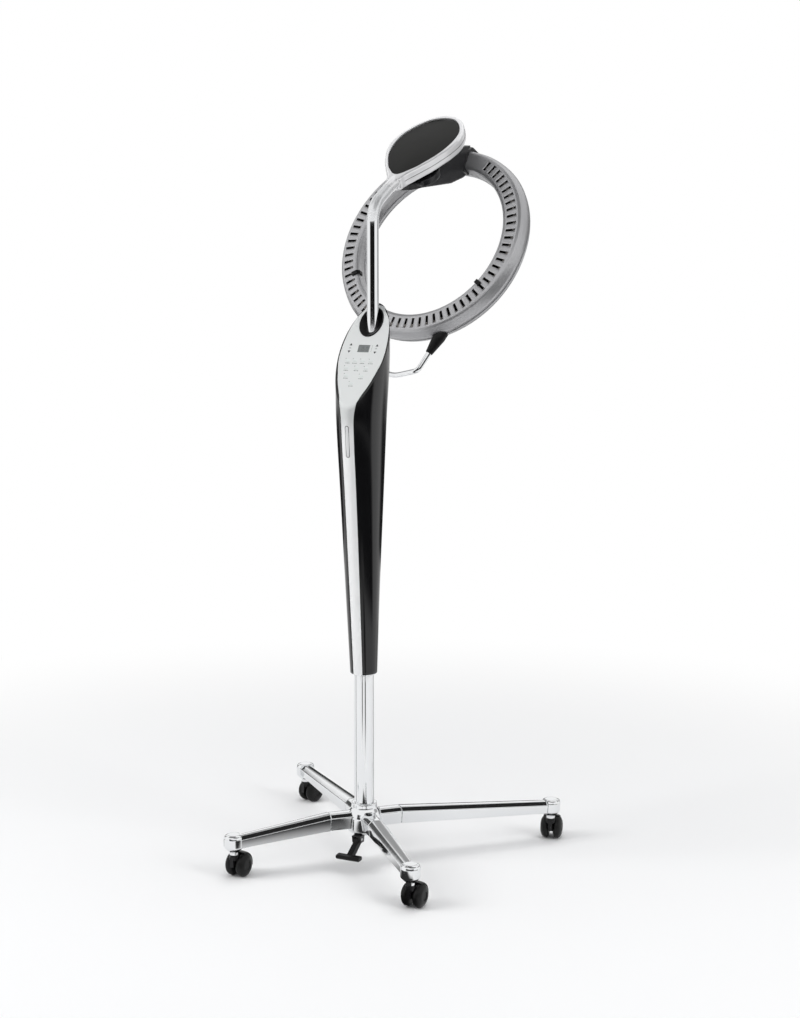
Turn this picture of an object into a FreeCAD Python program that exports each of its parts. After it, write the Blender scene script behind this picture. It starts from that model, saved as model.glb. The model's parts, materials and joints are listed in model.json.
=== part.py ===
import FreeCAD, Part
import math
import os
import Sketcher
from FreeCAD import Placement, Rotation, Vector

# Hair colour processor: a slotted ring of heat that turns round a seated client's head.
# It hangs from a racket-shaped head on a bent chrome arm, which stands in a tapered pod.
# The pod slides on a chrome column over a four-legged base on twin-wheel castors.
#
# The origin is on the floor under the column. +Z is up and +Y points over the client.
# The operator stands on the -Y side and faces the control panel. Lengths are millimetres.

SIZES = dict(
    # Base: a cast hub with four legs, two long ones under the head and two short ones
    leg_azimuth=45.3,
    long_leg_reach=437,
    short_leg_reach=288,
    hub_bottom=70,
    hub_radius=37,
    hub_shoulder=116,
    hub_collar_radius=28,
    hub_top=136,
    hub_floor=84,
    stub_reach=80,
    leg_root_top=118,
    leg_root_width=37,
    leg_root_depth=36,
    leg_tip_top=92,
    leg_tip_width=30,
    leg_tip_depth=27,
    leg_bevel=8,
    knuckle_radius=21,
    knuckle_flat=13,
    knuckle_top=95,
    knuckle_bottom=60,
    knuckle_bevel=8,
    stem_collar_radius=9.5,
    stem_collar_bottom=51,
    # Castors: twin wheels pressed on one axle, under a hood that swivels on its stem
    wheel_radius=25,
    wheel_width=18.5,
    wheel_crown=0.4,
    wheel_dome=12.8,
    wheel_middle=8,
    wheel_recess_radius=9.5,
    wheel_recess=1.2,
    castor_trail=17,
    hood_web=9,
    hood_disc_radius=11,
    hood_boss_radius=10,
    hood_height=50.6,
    wheel_side_gap=0.5,
    fender_gap=1.5,
    fender_wall=2.2,
    fender_crown=20.5,
    fender_half_width=18,
    fender_start=-14,
    fender_sweep=112,
    axle_radius=3,
    stem_radius=5.5,
    stem_length=24,
    running_clearance=0.06,
    # Column and gas spring
    column_radius=21.2,
    column_wall=2,
    column_top=750,
    gas_radius=14,
    gas_wall=3,
    gas_top=600,
    gas_gland=15,
    rod_radius=5,
    rod_bottom=400,
    piston_height=12,
    # Foot pedal
    pedal_pivot_reach=32,
    pedal_pivot_height=62,
    pedal_pin_radius=3,
    pedal_cheek=4,
    pedal_lever_width=12,
    pedal_lever_depth=11,
    pedal_pad_reach=74,
    pedal_pad_height=34,
    pedal_pad_width=54,
    pedal_pad_length=20,
    pedal_pad_thickness=9,
    side_clearance=0.3,
    # Pod: an oval housing that widens upwards and is cut off by the control face
    pod_bottom=420,
    pod_shoulder=964,
    pod_crown=1200,
    pod_bottom_half_width=28.7,
    pod_shoulder_half_width=47.8,
    pod_crown_half_width=55.5,
    pod_bottom_half_depth=29,
    pod_shoulder_half_depth=68,
    pod_crown_half_depth=88,
    pod_bottom_centre=-0.5,
    pod_shoulder_centre=-7,
    pod_crown_centre=-20,
    pod_waist=600,
    pod_waist_half_width=35.3,
    pod_waist_half_depth=39,
    pod_waist_centre=-4.3,
    pod_belly=797,
    pod_belly_half_width=42.1,
    pod_belly_half_depth=54.5,
    pod_belly_centre=-5.6,
    pod_brow=1090,
    pod_brow_half_width=53.5,
    pod_brow_half_depth=71,
    pod_brow_centre=-3,
    pod_wall=3,
    pod_floor=4,
    deck_thickness=6,
    panel_thickness=3,
    panel_fit=0.15,
    face_lean=34.8,
    face_depth=1.9,
    face_height=1101.7,
    strip_bottom_width=20.5,
    strip_top_width=29.5,
    strip_top=990,
    insert_bottom=886,
    insert_length=66,
    insert_width=9,
    display_width=26,
    display_height=17.5,
    display_rise=3.5,
    board_width=72,
    board_length=100,
    board_thickness=1.6,
    board_depth=22,
    board_rise=-30,
    socket_rise=68,
    socket_half_width=26.5,
    socket_half_length=36,
    socket_depth=12,
    socket_lip=1.6,
    inlet_height=850,
    inlet_width=28,
    inlet_length=34,
    inlet_depth=20,
    inlet_flange=2.5,
    inlet_pad=1.5,
    # Structure inside the pod
    sleeve_radius=26,
    sleeve_bore=23,
    sleeve_top=1000,
    bush_length=35,
    upper_bush_bottom=660,
    collar_height=3,
    clamp_plate=8,
    clamp_bottom=1030,
    clamp_top=1098,
    clamp_wall=2.8,
    # Arm and racket-shaped head; the head's plane rises towards the client
    arm_reach=46.7,
    arm_radius=12.7,
    arm_wall=2,
    arm_bend=55,
    head_reach=297,
    head_height=1532,
    head_tilt=27.8,
    pan_half_length=120,
    pan_half_width=66,
    face_rise=2,
    rim_rise=3,
    rim_drop=15,
    rim_round=5,
    ledge_width=8,
    cover_thickness=8,
    neck_end=150,
    neck_root=212,
    neck_half_width=17,
    neck_half_height=8,
    pan_depth=16,
    pan_inset=13,
    pan_wall=2.5,
    motor_radius=22,
    motor_height=17,
    shaft_radius=6,
    shaft_grip=10,
    # Rotor and ring; the ring's centre is the head's centre of rotation
    hub_offset=74.8,
    turn_gap=1.2,
    rotor_radius=50,
    rotor_half_width=42,
    rotor_edge=15,
    table_radius=57,
    ring_reach=321.5,
    ring_height=1326,
    ring_tilt=61.6,
    ring_phase=8.5,
    ring_inner=181,
    ring_outer=232.5,
    ring_depth=58,
    ring_split=30,
    ring_wall=2.5,
    slot_inner=193,
    slot_outer=215,
    slot_width=4,
    slot_step=5,
    slot_count=62,
    slot_phase=1.1,
    heater_radius=5,
    heater_depth=17,
    heater_gap=30,
    reflector_depth=28,
    reflector_wall=1,
    bracket_sweep=40,
    bracket_wall=6,
    bracket_lap=22,
    clip_phase=3.1,
    clip_thickness=3,
    # Handle on the ring's low side
    handle_radius=5.7,
    handle_reach=315,
    handle_phase=1.4,
    handle_bend=9,
    foot_length=42,
    foot_grip=16,
    foot_radius=14,
    foot_tip_radius=7.8,
)

doc = FreeCAD.newDocument("hair_processor")
sheet = doc.addObject("Spreadsheet::Sheet", "Sizes")


class Size:
    """A number together with the same thing written as a formula on the sheet."""

    def __init__(self, number, text):
        self.number = float(number)
        self.text = text

    def __add__(self, other):
        other = as_size(other)
        return Size(self.number + other.number, f"({self.text} + {other.text})")

    def __sub__(self, other):
        other = as_size(other)
        return Size(self.number - other.number, f"({self.text} - {other.text})")

    def __rsub__(self, other):
        return as_size(other) - self

    def __mul__(self, other):
        other = as_size(other)
        return Size(self.number * other.number, f"({self.text} * {other.text})")

    def __truediv__(self, other):
        other = as_size(other)
        return Size(self.number / other.number, f"({self.text} / {other.text})")

    def __neg__(self):
        return Size(-self.number, f"(-1 * {self.text})")

    def __float__(self):
        return self.number

    __radd__ = __add__
    __rmul__ = __mul__


def as_size(value):
    return value if isinstance(value, Size) else Size(value, repr(value))


class Sheet:
    """The driving dimensions, each in an aliased cell of the spreadsheet."""


size = Sheet()
for row, (name, number) in enumerate(SIZES.items(), start=1):
    sheet.set(f"A{row}", name)
    sheet.set(f"B{row}", str(number))
    sheet.setAlias(f"B{row}", name)
    setattr(size, name, Size(number, f"Sizes.{name}"))
doc.recompute()

# ---------------------------------------------------------------------------
# Helpers: frames, primitives, sketches and booleans
# ---------------------------------------------------------------------------

X_AXIS = Vector(1, 0, 0)
Z_AXIS = Vector(0, 0, 1)
NODES = {}


def free(feature):
    """Let go of a primitive's bound position, so that a frame can carry it."""
    for axis in ("x", "y", "z"):
        feature.setExpression("Placement.Base." + axis, None)
    return feature


def node(name, feature, frame=None):
    """Name a finished sub-part and put it in its frame."""
    feature.Label = name
    if frame is not None:
        doc.recompute()
        free(feature).Placement = frame.multiply(feature.Placement)
    NODES[name] = feature
    return feature


def point(x=0.0, y=0.0, z=0.0):
    return Vector(float(x), float(y), float(z))


def shift(x=0.0, y=0.0, z=0.0):
    return Placement(point(x, y, z), Rotation())


def spin(angle, axis=Z_AXIS):
    return Placement(Vector(), Rotation(axis, float(angle)))


def bind(feature, **formulas):
    """Tie properties of a feature to formulas on the sheet."""
    for prop, value in formulas.items():
        feature.setExpression(prop.replace("__", "."), as_size(value).text)
    return feature


def place(feature, x=0.0, y=0.0, z=0.0):
    return bind(feature, Placement__Base__x=x, Placement__Base__y=y, Placement__Base__z=z)


def cylinder(name, radius, height, x=0.0, y=0.0, z=0.0):
    rod = doc.addObject("Part::Cylinder", name)
    return place(bind(rod, Radius=radius, Height=height), x, y, z)


def block(name, width, depth, height, x=0.0, y=0.0, z=0.0):
    """A box centred on x and y, standing on z."""
    box = doc.addObject("Part::Box", name)
    bind(box, Length=width, Width=depth, Height=height)
    return place(box, x - as_size(width) / 2, y - as_size(depth) / 2, z)


def cut(name, base, tool):
    result = doc.addObject("Part::Cut", name)
    result.Base = base
    result.Tool = tool
    return result


def common(name, first, second):
    result = doc.addObject("Part::Common", name)
    result.Base = first
    result.Tool = second
    return result


def fuse(name, *parts):
    result = doc.addObject("Part::MultiFuse", name)
    result.Shapes = list(parts)
    result.Refine = True
    return result


def oval(name, half_width, half_length, x=0.0, y=0.0, z=0.0):
    """A flat oval, wide along X and long along Y, whichever of the two is the longer."""
    ring = doc.addObject("Part::Ellipse", name)
    if float(half_length) > float(half_width):
        bind(ring, MajorRadius=half_length, MinorRadius=half_width)
        ring.Placement = spin(90)
    else:
        bind(ring, MajorRadius=half_width, MinorRadius=half_length)
    return place(ring, x, y, z)


def loft(name, *sections):
    skin = doc.addObject("Part::Loft", name)
    skin.Sections = list(sections)
    skin.Solid = True
    skin.Ruled = len(sections) == 2
    return skin


def oval_slab(name, half_width, half_length, bottom, top, y=0.0):
    low = oval(name + "_low", half_width, half_length, y=y, z=bottom)
    high = oval(name + "_high", half_width, half_length, y=y, z=top)
    return loft(name, low, high)


def origin_plane(body, role):
    return next(plane for plane in body.Origin.OriginFeatures if plane.Role == role)


def sketch(body, role, corners, name, offset=0.0):
    """A closed outline through corners on one of the body's own planes, bound to the sheet."""
    outline = body.newObject("Sketcher::SketchObject", name)
    outline.AttachmentSupport = (origin_plane(body, role), [""])
    outline.MapMode = "FlatFace"
    bind(outline, AttachmentOffset__Base__z=offset)
    corners = [(as_size(across), as_size(up)) for across, up in corners]
    for index, (start, end) in enumerate(zip(corners, corners[1:] + corners[:1])):
        line = Part.LineSegment(point(*start), point(*end))
        outline.addGeometry(line, False)
    for index in range(len(corners)):
        following = (index + 1) % len(corners)
        outline.addConstraint(Sketcher.Constraint("Coincident", index, 2, following, 1))
    for index, corner in enumerate(corners):
        for direction, value in zip("XY", corner):
            rule = Sketcher.Constraint("Distance" + direction, -1, 1, index, 1, value.number)
            number = outline.addConstraint(rule)
            outline.setExpression(f"Constraints[{number}]", value.text)
    return outline


def new_body(name):
    return doc.addObject("PartDesign::Body", name + "_body")


def turned(name, corners, angle=360):
    """A body of revolution: corners are (radius, height) and the axis is Z."""
    body = new_body(name)
    profile = sketch(body, "XZ_Plane", corners, name + "_profile")
    turn = body.newObject("PartDesign::Revolution", name + "_turn")
    turn.Profile = profile
    turn.ReferenceAxis = (profile, ["V_Axis"])
    bind(turn, Angle=angle)
    return body


def padded_outline(name, role, corners, length, offset=0.0):
    """A body made by padding an outline both ways from its plane."""
    body = new_body(name)
    profile = sketch(body, role, corners, name + "_outline", offset)
    pad = body.newObject("PartDesign::Pad", name + "_pad")
    pad.Profile = profile
    pad.Midplane = True
    bind(pad, Length=length)
    return body


def rounded(body, name, radius, chosen):
    """Fillet the edges of a body's tip that chosen picks by their middle point."""
    doc.recompute()
    tip = body.Tip
    picked = []
    for index, edge in enumerate(tip.Shape.Edges, start=1):
        middle = edge.valueAt((edge.FirstParameter + edge.LastParameter) / 2)
        if chosen(edge, middle):
            picked.append(f"Edge{index}")
    fillet = body.newObject("PartDesign::Fillet", name)
    fillet.Base = (tip, picked)
    bind(fillet, Radius=radius)
    return body


# ---------------------------------------------------------------------------
# Base: hub, legs and leg ends
# ---------------------------------------------------------------------------

CORNERS = {
    # name: (turn about Z from +Y towards +X, reach of the castor's stem)
    "client_right": (size.leg_azimuth, size.long_leg_reach),
    "client_left": (-size.leg_azimuth, size.long_leg_reach),
    "operator_right": (180 - size.leg_azimuth, size.short_leg_reach),
    "operator_left": (size.leg_azimuth - 180, size.short_leg_reach),
}

CASTOR_HEADINGS = {
    # where each castor has come to rest, anticlockwise from +X
    "client_right": 103,
    "client_left": 70,
    "operator_right": 86,
    "operator_left": 86,
}


def leg_section(width, depth, top, bevel):
    """Half-hexagonal leg section: flat top, bevelled shoulders, slightly narrower sole."""
    half = width / 2
    bottom = top - depth
    sole = half - bevel / 2
    return [
        (-half, top - bevel),
        (bevel - half, top),
        (half - bevel, top),
        (half, top - bevel),
        (sole, bottom),
        (-sole, bottom),
    ]


def leg_direction(azimuth):
    """The frame of a leg: its own X axis runs outwards along the floor."""
    return spin(90 - float(azimuth))


def build_hub():
    """Cast hub: a waisted boss that takes the column, with a stub for each leg."""
    core = turned("hub_core", [
        (0, size.hub_bottom),
        (size.hub_radius - 6, size.hub_bottom),
        (size.hub_radius, size.hub_bottom + 6),
        (size.hub_radius, size.hub_shoulder - 10),
        (size.hub_radius - 4, size.hub_shoulder),
        (size.hub_collar_radius, size.hub_shoulder + 8),
        (size.hub_collar_radius - 1, size.hub_top),
        (0, size.hub_top),
    ])
    stubs = []
    for corner, (azimuth, reach) in CORNERS.items():
        body = new_body("stub_" + corner)
        corners = leg_section(size.leg_root_width, size.leg_root_depth, size.leg_root_top, size.leg_bevel)
        profile = sketch(body, "YZ_Plane", corners, "stub_outline_" + corner)
        pad = body.newObject("PartDesign::Pad", "stub_pad_" + corner)
        pad.Profile = profile
        bind(pad, Length=size.stub_reach)
        body.Placement = leg_direction(azimuth)
        stubs.append(body)
    socket = cylinder("hub_socket", size.column_radius + size.running_clearance,
                      size.hub_top, z=size.hub_floor)
    node("base_hub", cut("hub_bored", fuse("hub_star", core, *stubs), socket))


def build_leg(corner, azimuth, reach):
    body = new_body("leg_" + corner)
    root = leg_section(size.leg_root_width, size.leg_root_depth, size.leg_root_top, size.leg_bevel)
    tip = leg_section(size.leg_tip_width, size.leg_tip_depth, size.leg_tip_top, size.leg_bevel)
    near = sketch(body, "YZ_Plane", root, "leg_root_" + corner, size.stub_reach)
    far = sketch(body, "YZ_Plane", tip, "leg_tip_" + corner, reach - size.knuckle_flat)
    skin = body.newObject("PartDesign::AdditiveLoft", "leg_loft_" + corner)
    skin.Profile = near
    skin.Sections = [far]
    skin.Ruled = True
    node("leg_" + corner, body, leg_direction(azimuth))


def build_leg_end(corner, azimuth, reach):
    """Domed knuckle that closes the leg and carries the castor's stem."""
    knuckle = turned("knuckle_" + corner, [
        (size.stem_radius + size.running_clearance, size.stem_collar_bottom),
        (size.stem_collar_radius, size.stem_collar_bottom),
        (size.stem_collar_radius, size.knuckle_bottom - 3),
        (size.knuckle_radius - size.knuckle_bevel, size.knuckle_bottom),
        (size.knuckle_radius, size.knuckle_bottom + size.knuckle_bevel),
        (size.knuckle_radius, size.knuckle_top - size.knuckle_bevel),
        (size.knuckle_radius - size.knuckle_bevel / 2, size.knuckle_top - size.knuckle_bevel / 3),
        (size.knuckle_radius - size.knuckle_bevel, size.knuckle_top),
        (0, size.knuckle_top),
        (0, size.hood_height + size.stem_length + 1),
        (size.stem_radius + size.running_clearance, size.hood_height + size.stem_length + 1),
    ])
    flat = block("knuckle_flat_" + corner, size.knuckle_radius * 2, size.knuckle_radius * 3,
                 size.knuckle_top * 2, x=-(size.knuckle_flat + size.knuckle_radius))
    leg_end = cut("knuckle_cut_" + corner, knuckle, flat)
    node("leg_end_" + corner, leg_end, leg_direction(azimuth).multiply(shift(reach)))


# ---------------------------------------------------------------------------
# Castors
# ---------------------------------------------------------------------------

def build_castor(corner, azimuth, reach):
    """One twin-wheel castor: hood with its stem, axle and two wheels."""
    stand = leg_direction(azimuth).multiply(shift(reach))
    heading = spin(CASTOR_HEADINGS[corner] - (90 - float(azimuth)))
    frame = stand.multiply(heading)
    fender_inner = size.wheel_radius + size.fender_gap
    fender_outer = fender_inner + size.fender_wall
    half_track = size.hood_web / 2 + size.wheel_side_gap + size.wheel_width

    web = cylinder("web_" + corner, size.hood_disc_radius, size.hood_web)
    shell = cut("arch_shell_" + corner, barrel("arch_" + corner, fender_outer),
                barrel("arch_bore_" + corner, fender_inner))
    sector = doc.addObject("Part::Cylinder", "arch_sector_" + corner)
    bind(sector, Radius=fender_outer * 2, Height=size.fender_half_width * 2, Angle=size.fender_sweep)
    sector.Placement = Placement(point(z=size.hood_web / 2 - size.fender_half_width),
                                 Rotation(Z_AXIS, float(size.fender_start)))
    fender = common("fender_" + corner, shell, sector)
    spoke = common("spoke_" + corner,
                   cylinder("spoke_disc_" + corner, fender_outer, size.hood_web),
                   cylinder_sector("spoke_sector_" + corner, fender_outer * 2, size.hood_web,
                                   size.fender_sweep, float(size.fender_start)))
    bore = cylinder("axle_bore_" + corner, size.axle_radius + size.running_clearance,
                    size.hood_web * 3, z=-size.hood_web)
    plate = cut("plate_" + corner, fuse("plates_" + corner, web, fender, spoke), bore)
    # The plate is drawn lying down: stand it up about the axle, which runs along Y.
    plate.Placement = Placement(point(size.castor_trail, size.hood_web / 2, size.wheel_radius),
                                Rotation(X_AXIS, 90))
    boss = cylinder("boss_" + corner, size.hood_boss_radius, size.hood_height - size.wheel_radius,
                    z=size.wheel_radius)
    boss_trim = cylinder_across("boss_trim_" + corner, fender_inner, half_track * 3,
                                size.castor_trail, size.wheel_radius)
    neck = common("boss_neck_" + corner, boss, block("boss_web_" + corner, 60, size.hood_web, 90))
    cap = cut("boss_cap_" + corner, boss_copy(corner), boss_trim)
    stem = cylinder("stem_" + corner, size.stem_radius, size.stem_length + 1, z=size.hood_height - 1)
    node("castor_hood_" + corner, fuse("hood_" + corner, plate, neck, cap, stem), frame)

    axle = cylinder_across("axle_" + corner, size.axle_radius, half_track * 2 - 3,
                           size.castor_trail, size.wheel_radius)
    node("castor_axle_" + corner, axle, frame)
    for side, sign in (("inner", 1), ("outer", -1)):
        wheel = build_wheel(corner + "_" + side)
        inner_face = float(size.hood_web / 2 + size.wheel_side_gap)
        upright = Placement(point(size.castor_trail, sign * inner_face, size.wheel_radius),
                            Rotation(X_AXIS, -90 * sign))
        node(f"castor_wheel_{corner}_{side}", wheel, frame.multiply(upright))


def build_wheel(name):
    """A wheel domed on both sides, its inner face on Z = 0."""
    dome = doc.addObject("Part::Ellipsoid", "wheel_dome_" + name)
    bind(dome, Radius1=size.wheel_dome, Radius2=size.wheel_radius + size.wheel_crown)
    place(dome, z=size.wheel_middle)
    tread = cylinder("wheel_tread_" + name, size.wheel_radius, size.wheel_width)
    bore = cylinder("wheel_bore_" + name, size.axle_radius, size.wheel_width)
    recess = cylinder("wheel_recess_" + name, size.wheel_recess_radius, size.wheel_recess * 2,
                      z=size.wheel_width - size.wheel_recess)
    return cut("wheel_" + name, common("wheel_blank_" + name, tread, dome),
               fuse("wheel_bores_" + name, bore, recess))


def barrel(name, radius):
    """A crowned drum round the axle, one face of the hood's shell."""
    drum = doc.addObject("Part::Ellipsoid", name)
    bind(drum, Radius1=radius + size.fender_crown, Radius2=radius)
    return place(drum, z=size.hood_web / 2)


def cylinder_sector(name, radius, height, sweep, start):
    sector = doc.addObject("Part::Cylinder", name)
    bind(sector, Radius=radius, Height=height, Angle=sweep)
    sector.Placement = Placement(Vector(), Rotation(Z_AXIS, start))
    return sector


def cylinder_across(name, radius, length, x, z):
    """A cylinder along Y, centred on Y = 0."""
    rod = doc.addObject("Part::Cylinder", name)
    bind(rod, Radius=radius, Height=length)
    rod.Placement = Placement(point(x, float(length) / 2, z), Rotation(X_AXIS, 90))
    return rod


def boss_copy(corner):
    return cylinder("boss_ring_" + corner, size.hood_boss_radius,
                    size.hood_height - size.wheel_radius - 8, z=size.wheel_radius + 8)


build_hub()
for corner, (azimuth, reach) in CORNERS.items():
    build_leg(corner, azimuth, reach)
    build_leg_end(corner, azimuth, reach)
    build_castor(corner, azimuth, reach)


# ---------------------------------------------------------------------------
# Column, gas spring and pedal
# ---------------------------------------------------------------------------

def build_column():
    node("column_tube", turned("column", [
        (size.column_radius - size.column_wall, size.hub_floor),
        (size.column_radius, size.hub_floor),
        (size.column_radius, size.column_top),
        (size.column_radius - size.column_wall, size.column_top),
    ]))
    node("gas_cylinder", turned("gas_spring", [
        (0, size.hub_floor),
        (size.gas_radius, size.hub_floor),
        (size.gas_radius, size.gas_top),
        (size.rod_radius + size.running_clearance, size.gas_top),
        (size.rod_radius + size.running_clearance, size.gas_top - size.gas_gland),
        (size.gas_radius - size.gas_wall, size.gas_top - size.gas_gland),
        (size.gas_radius - size.gas_wall, size.hub_floor + size.gas_gland),
        (0, size.hub_floor + size.gas_gland),
    ]))
    piston_radius = size.gas_radius - size.gas_wall - size.running_clearance
    node("gas_rod", turned("piston_rod", [
        (0, size.rod_bottom),
        (piston_radius, size.rod_bottom),
        (piston_radius, size.rod_bottom + size.piston_height),
        (size.rod_radius, size.rod_bottom + size.piston_height),
        (size.rod_radius, size.sleeve_top),
        (0, size.sleeve_top),
    ]))


def build_pedal():
    """Foot pedal that opens the gas spring: forked bracket, pin, lever and tread."""
    inner_width = size.pedal_lever_width + size.side_clearance * 2
    outer_width = inner_width + size.pedal_cheek * 2
    pivot = (-size.pedal_pivot_reach, size.pedal_pivot_height)
    drop = size.pedal_lever_depth
    cheeks = padded_outline("pedal_cheeks", "YZ_Plane", [
        (pivot[0] - 9, size.hub_bottom),
        (pivot[0] + 14, size.hub_bottom),
        (pivot[0] + 10, pivot[1] - 8),
        (pivot[0] - 6, pivot[1] - 8),
    ], outer_width)
    gap = block("pedal_gap", inner_width, size.hub_radius * 2, size.hub_bottom, y=pivot[0],
                z=pivot[1] - size.hub_bottom - 1 + 7)
    pin_hole = pivot_pin("pedal_pin_hole", size.pedal_pin_radius + size.running_clearance, outer_width * 2)
    node("pedal_bracket", cut("pedal_fork", cut("pedal_slotted", cheeks, gap), pin_hole))
    node("pedal_pin", pivot_pin("pedal_pin_rod", size.pedal_pin_radius, outer_width))

    tread = (-size.pedal_pad_reach, size.pedal_pad_height)
    lever = padded_outline("pedal_lever", "YZ_Plane", [
        (pivot[0] + drop / 2, pivot[1] + drop / 4),
        (pivot[0] - drop / 2, pivot[1] + drop / 4),
        (pivot[0] - drop, pivot[1] - drop / 2),
        (tread[0] - 2, tread[1] + 3),
        (tread[0], tread[1] - 5),
        (tread[0] + 14, tread[1] - 5),
        (pivot[0] + drop / 2, pivot[1] - drop),
    ], size.pedal_lever_width)
    pad = padded_outline("pedal_tread", "YZ_Plane", [
        (tread[0] + size.pedal_pad_length / 2, tread[1]),
        (tread[0] + size.pedal_pad_length / 2 - 3, tread[1] + size.pedal_pad_thickness / 2),
        (tread[0] - size.pedal_pad_length / 2 + 2, tread[1] + size.pedal_pad_thickness / 2),
        (tread[0] - size.pedal_pad_length / 2, tread[1]),
        (tread[0] - size.pedal_pad_length / 2 + 3, tread[1] - size.pedal_pad_thickness / 2),
        (tread[0] + size.pedal_pad_length / 2 - 3, tread[1] - size.pedal_pad_thickness / 2),
    ], size.pedal_pad_width)
    pin_way = pivot_pin("pedal_pin_way", size.pedal_pin_radius + size.running_clearance, outer_width * 2)
    node("pedal_lever", cut("pedal_bored", fuse("pedal_body", lever, pad), pin_way))


def pivot_pin(name, radius, length):
    """A rod along X through the pedal's pivot."""
    rod = doc.addObject("Part::Cylinder", name)
    bind(rod, Radius=radius, Height=length)
    rod.Placement = Placement(
        point(-float(length) / 2, -size.pedal_pivot_reach, size.pedal_pivot_height),
        Rotation(Vector(0, 1, 0), 90))
    return rod


build_column()
build_pedal()


# ---------------------------------------------------------------------------
# Pod: shell, face panel and what they hold
# ---------------------------------------------------------------------------

PANEL = Placement(point(0, size.face_depth, size.face_height), Rotation(X_AXIS, 90 - float(size.face_lean)))

# Half-widths of the leaf-shaped control face at distances up its slope from its middle
LEAF = (
    (-146, 14.8),
    (-118, 24),
    (-71, 41.3),
    (-24, 50.3),
    (24, 48.8),
    (73, 38.5),
    (98, 23),
    (110, 0),
)


def pod_solid(name, inset, bottom):
    """The pod's outside, or its inside when inset by the wall."""
    stations = (
        (bottom, size.pod_bottom_half_width, size.pod_bottom_half_depth, size.pod_bottom_centre),
        (size.pod_waist, size.pod_waist_half_width, size.pod_waist_half_depth, size.pod_waist_centre),
        (size.pod_belly, size.pod_belly_half_width, size.pod_belly_half_depth, size.pod_belly_centre),
        (size.pod_shoulder, size.pod_shoulder_half_width, size.pod_shoulder_half_depth,
         size.pod_shoulder_centre),
        (size.pod_brow, size.pod_brow_half_width, size.pod_brow_half_depth, size.pod_brow_centre),
        (size.pod_crown, size.pod_crown_half_width, size.pod_crown_half_depth, size.pod_crown_centre),
    )
    sections = [oval(f"{name}_section_{index}", width - inset, depth - inset, y=centre, z=height)
                for index, (height, width, depth, centre) in enumerate(stations)]
    return loft(name, *sections)


def above_face(name, depth):
    """Everything more than depth above the control face's plane."""
    cover = doc.addObject("Part::Box", name)
    reach = size.pod_crown_half_depth * 6
    bind(cover, Length=reach, Width=reach, Height=reach)
    half = float(reach) / 2
    cover.Placement = PANEL.multiply(shift(-half, -half, depth))
    return cover


def leaf(name, inset, bottom, top):
    """The leaf-shaped plate on the control face, between two depths of the panel frame."""
    right = [Vector(half - float(inset) if half else 0, up, 0) for up, half in LEAF]
    right[-1] = Vector(0, LEAF[-1][0] - float(inset), 0)
    left = [Vector(-spot.x, spot.y, 0) for spot in reversed(right[:-1])]
    edge = Part.BSplineCurve()
    edge.interpolate(right + left)
    outline = Part.Wire([edge.toShape(), Part.makeLine(left[-1], right[0])])
    outline.translate(point(z=bottom))
    plate = doc.addObject("Part::Feature", name)
    plate.Shape = Part.Face(outline).extrude(point(z=float(top) - float(bottom)))
    plate.Placement = PANEL
    return plate


def strip_slab(name, clearance):
    """The narrow front stripe of the pod, from its bottom to the control face's neck."""
    low = size.strip_bottom_width / 2 + clearance
    high = size.strip_top_width / 2 + clearance
    body = new_body(name)
    outline = sketch(body, "XZ_Plane", [
        (-low, size.pod_bottom - 10),
        (low, size.pod_bottom - 10),
        (high, size.strip_top),
        (-high, size.strip_top),
    ], name + "_outline")
    pad = body.newObject("PartDesign::Pad", name + "_pad")
    pad.Profile = outline
    bind(pad, Length=size.pod_crown_half_depth * 2)
    return body


def panel_oval(name, grow, bottom, top):
    slab = oval_slab(name, size.socket_half_width + grow, size.socket_half_length + grow,
                     bottom, top, y=size.socket_rise)
    slab.Placement = PANEL
    return slab


def display_block(name, grow, bottom, top):
    window = free(block(name, size.display_width + grow * 2, size.display_height + grow * 2, top - bottom))
    window.Placement = PANEL.multiply(shift(
        -float(size.display_width) / 2 - grow,
        float(size.display_rise) - float(size.display_height) / 2 - grow,
        bottom))
    return window


def arm_rod(name, radius, bottom, top):
    return cylinder(name, radius, top - bottom, y=size.arm_reach, z=bottom)


def inlet_block(name, grow, start, depth):
    """A block on the pod's back, at right angles to the column."""
    return block(name, size.inlet_width + grow * 2, depth, size.inlet_length + grow * 2,
                 y=start + depth / 2, z=size.inlet_height - grow)


def pod_back(height):
    """The back of the pod at a height between its waist and its shoulder."""
    waist = (size.pod_waist, size.pod_waist_centre + size.pod_waist_half_depth)
    belly = (size.pod_belly, size.pod_belly_centre + size.pod_belly_half_depth)
    shoulder = (size.pod_shoulder, size.pod_shoulder_centre + size.pod_shoulder_half_depth)
    below, above = (waist, belly) if float(height) < float(size.pod_belly) else (belly, shoulder)
    return below[1] + (above[1] - below[1]) * ((height - below[0]) / (above[0] - below[0]))


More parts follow.
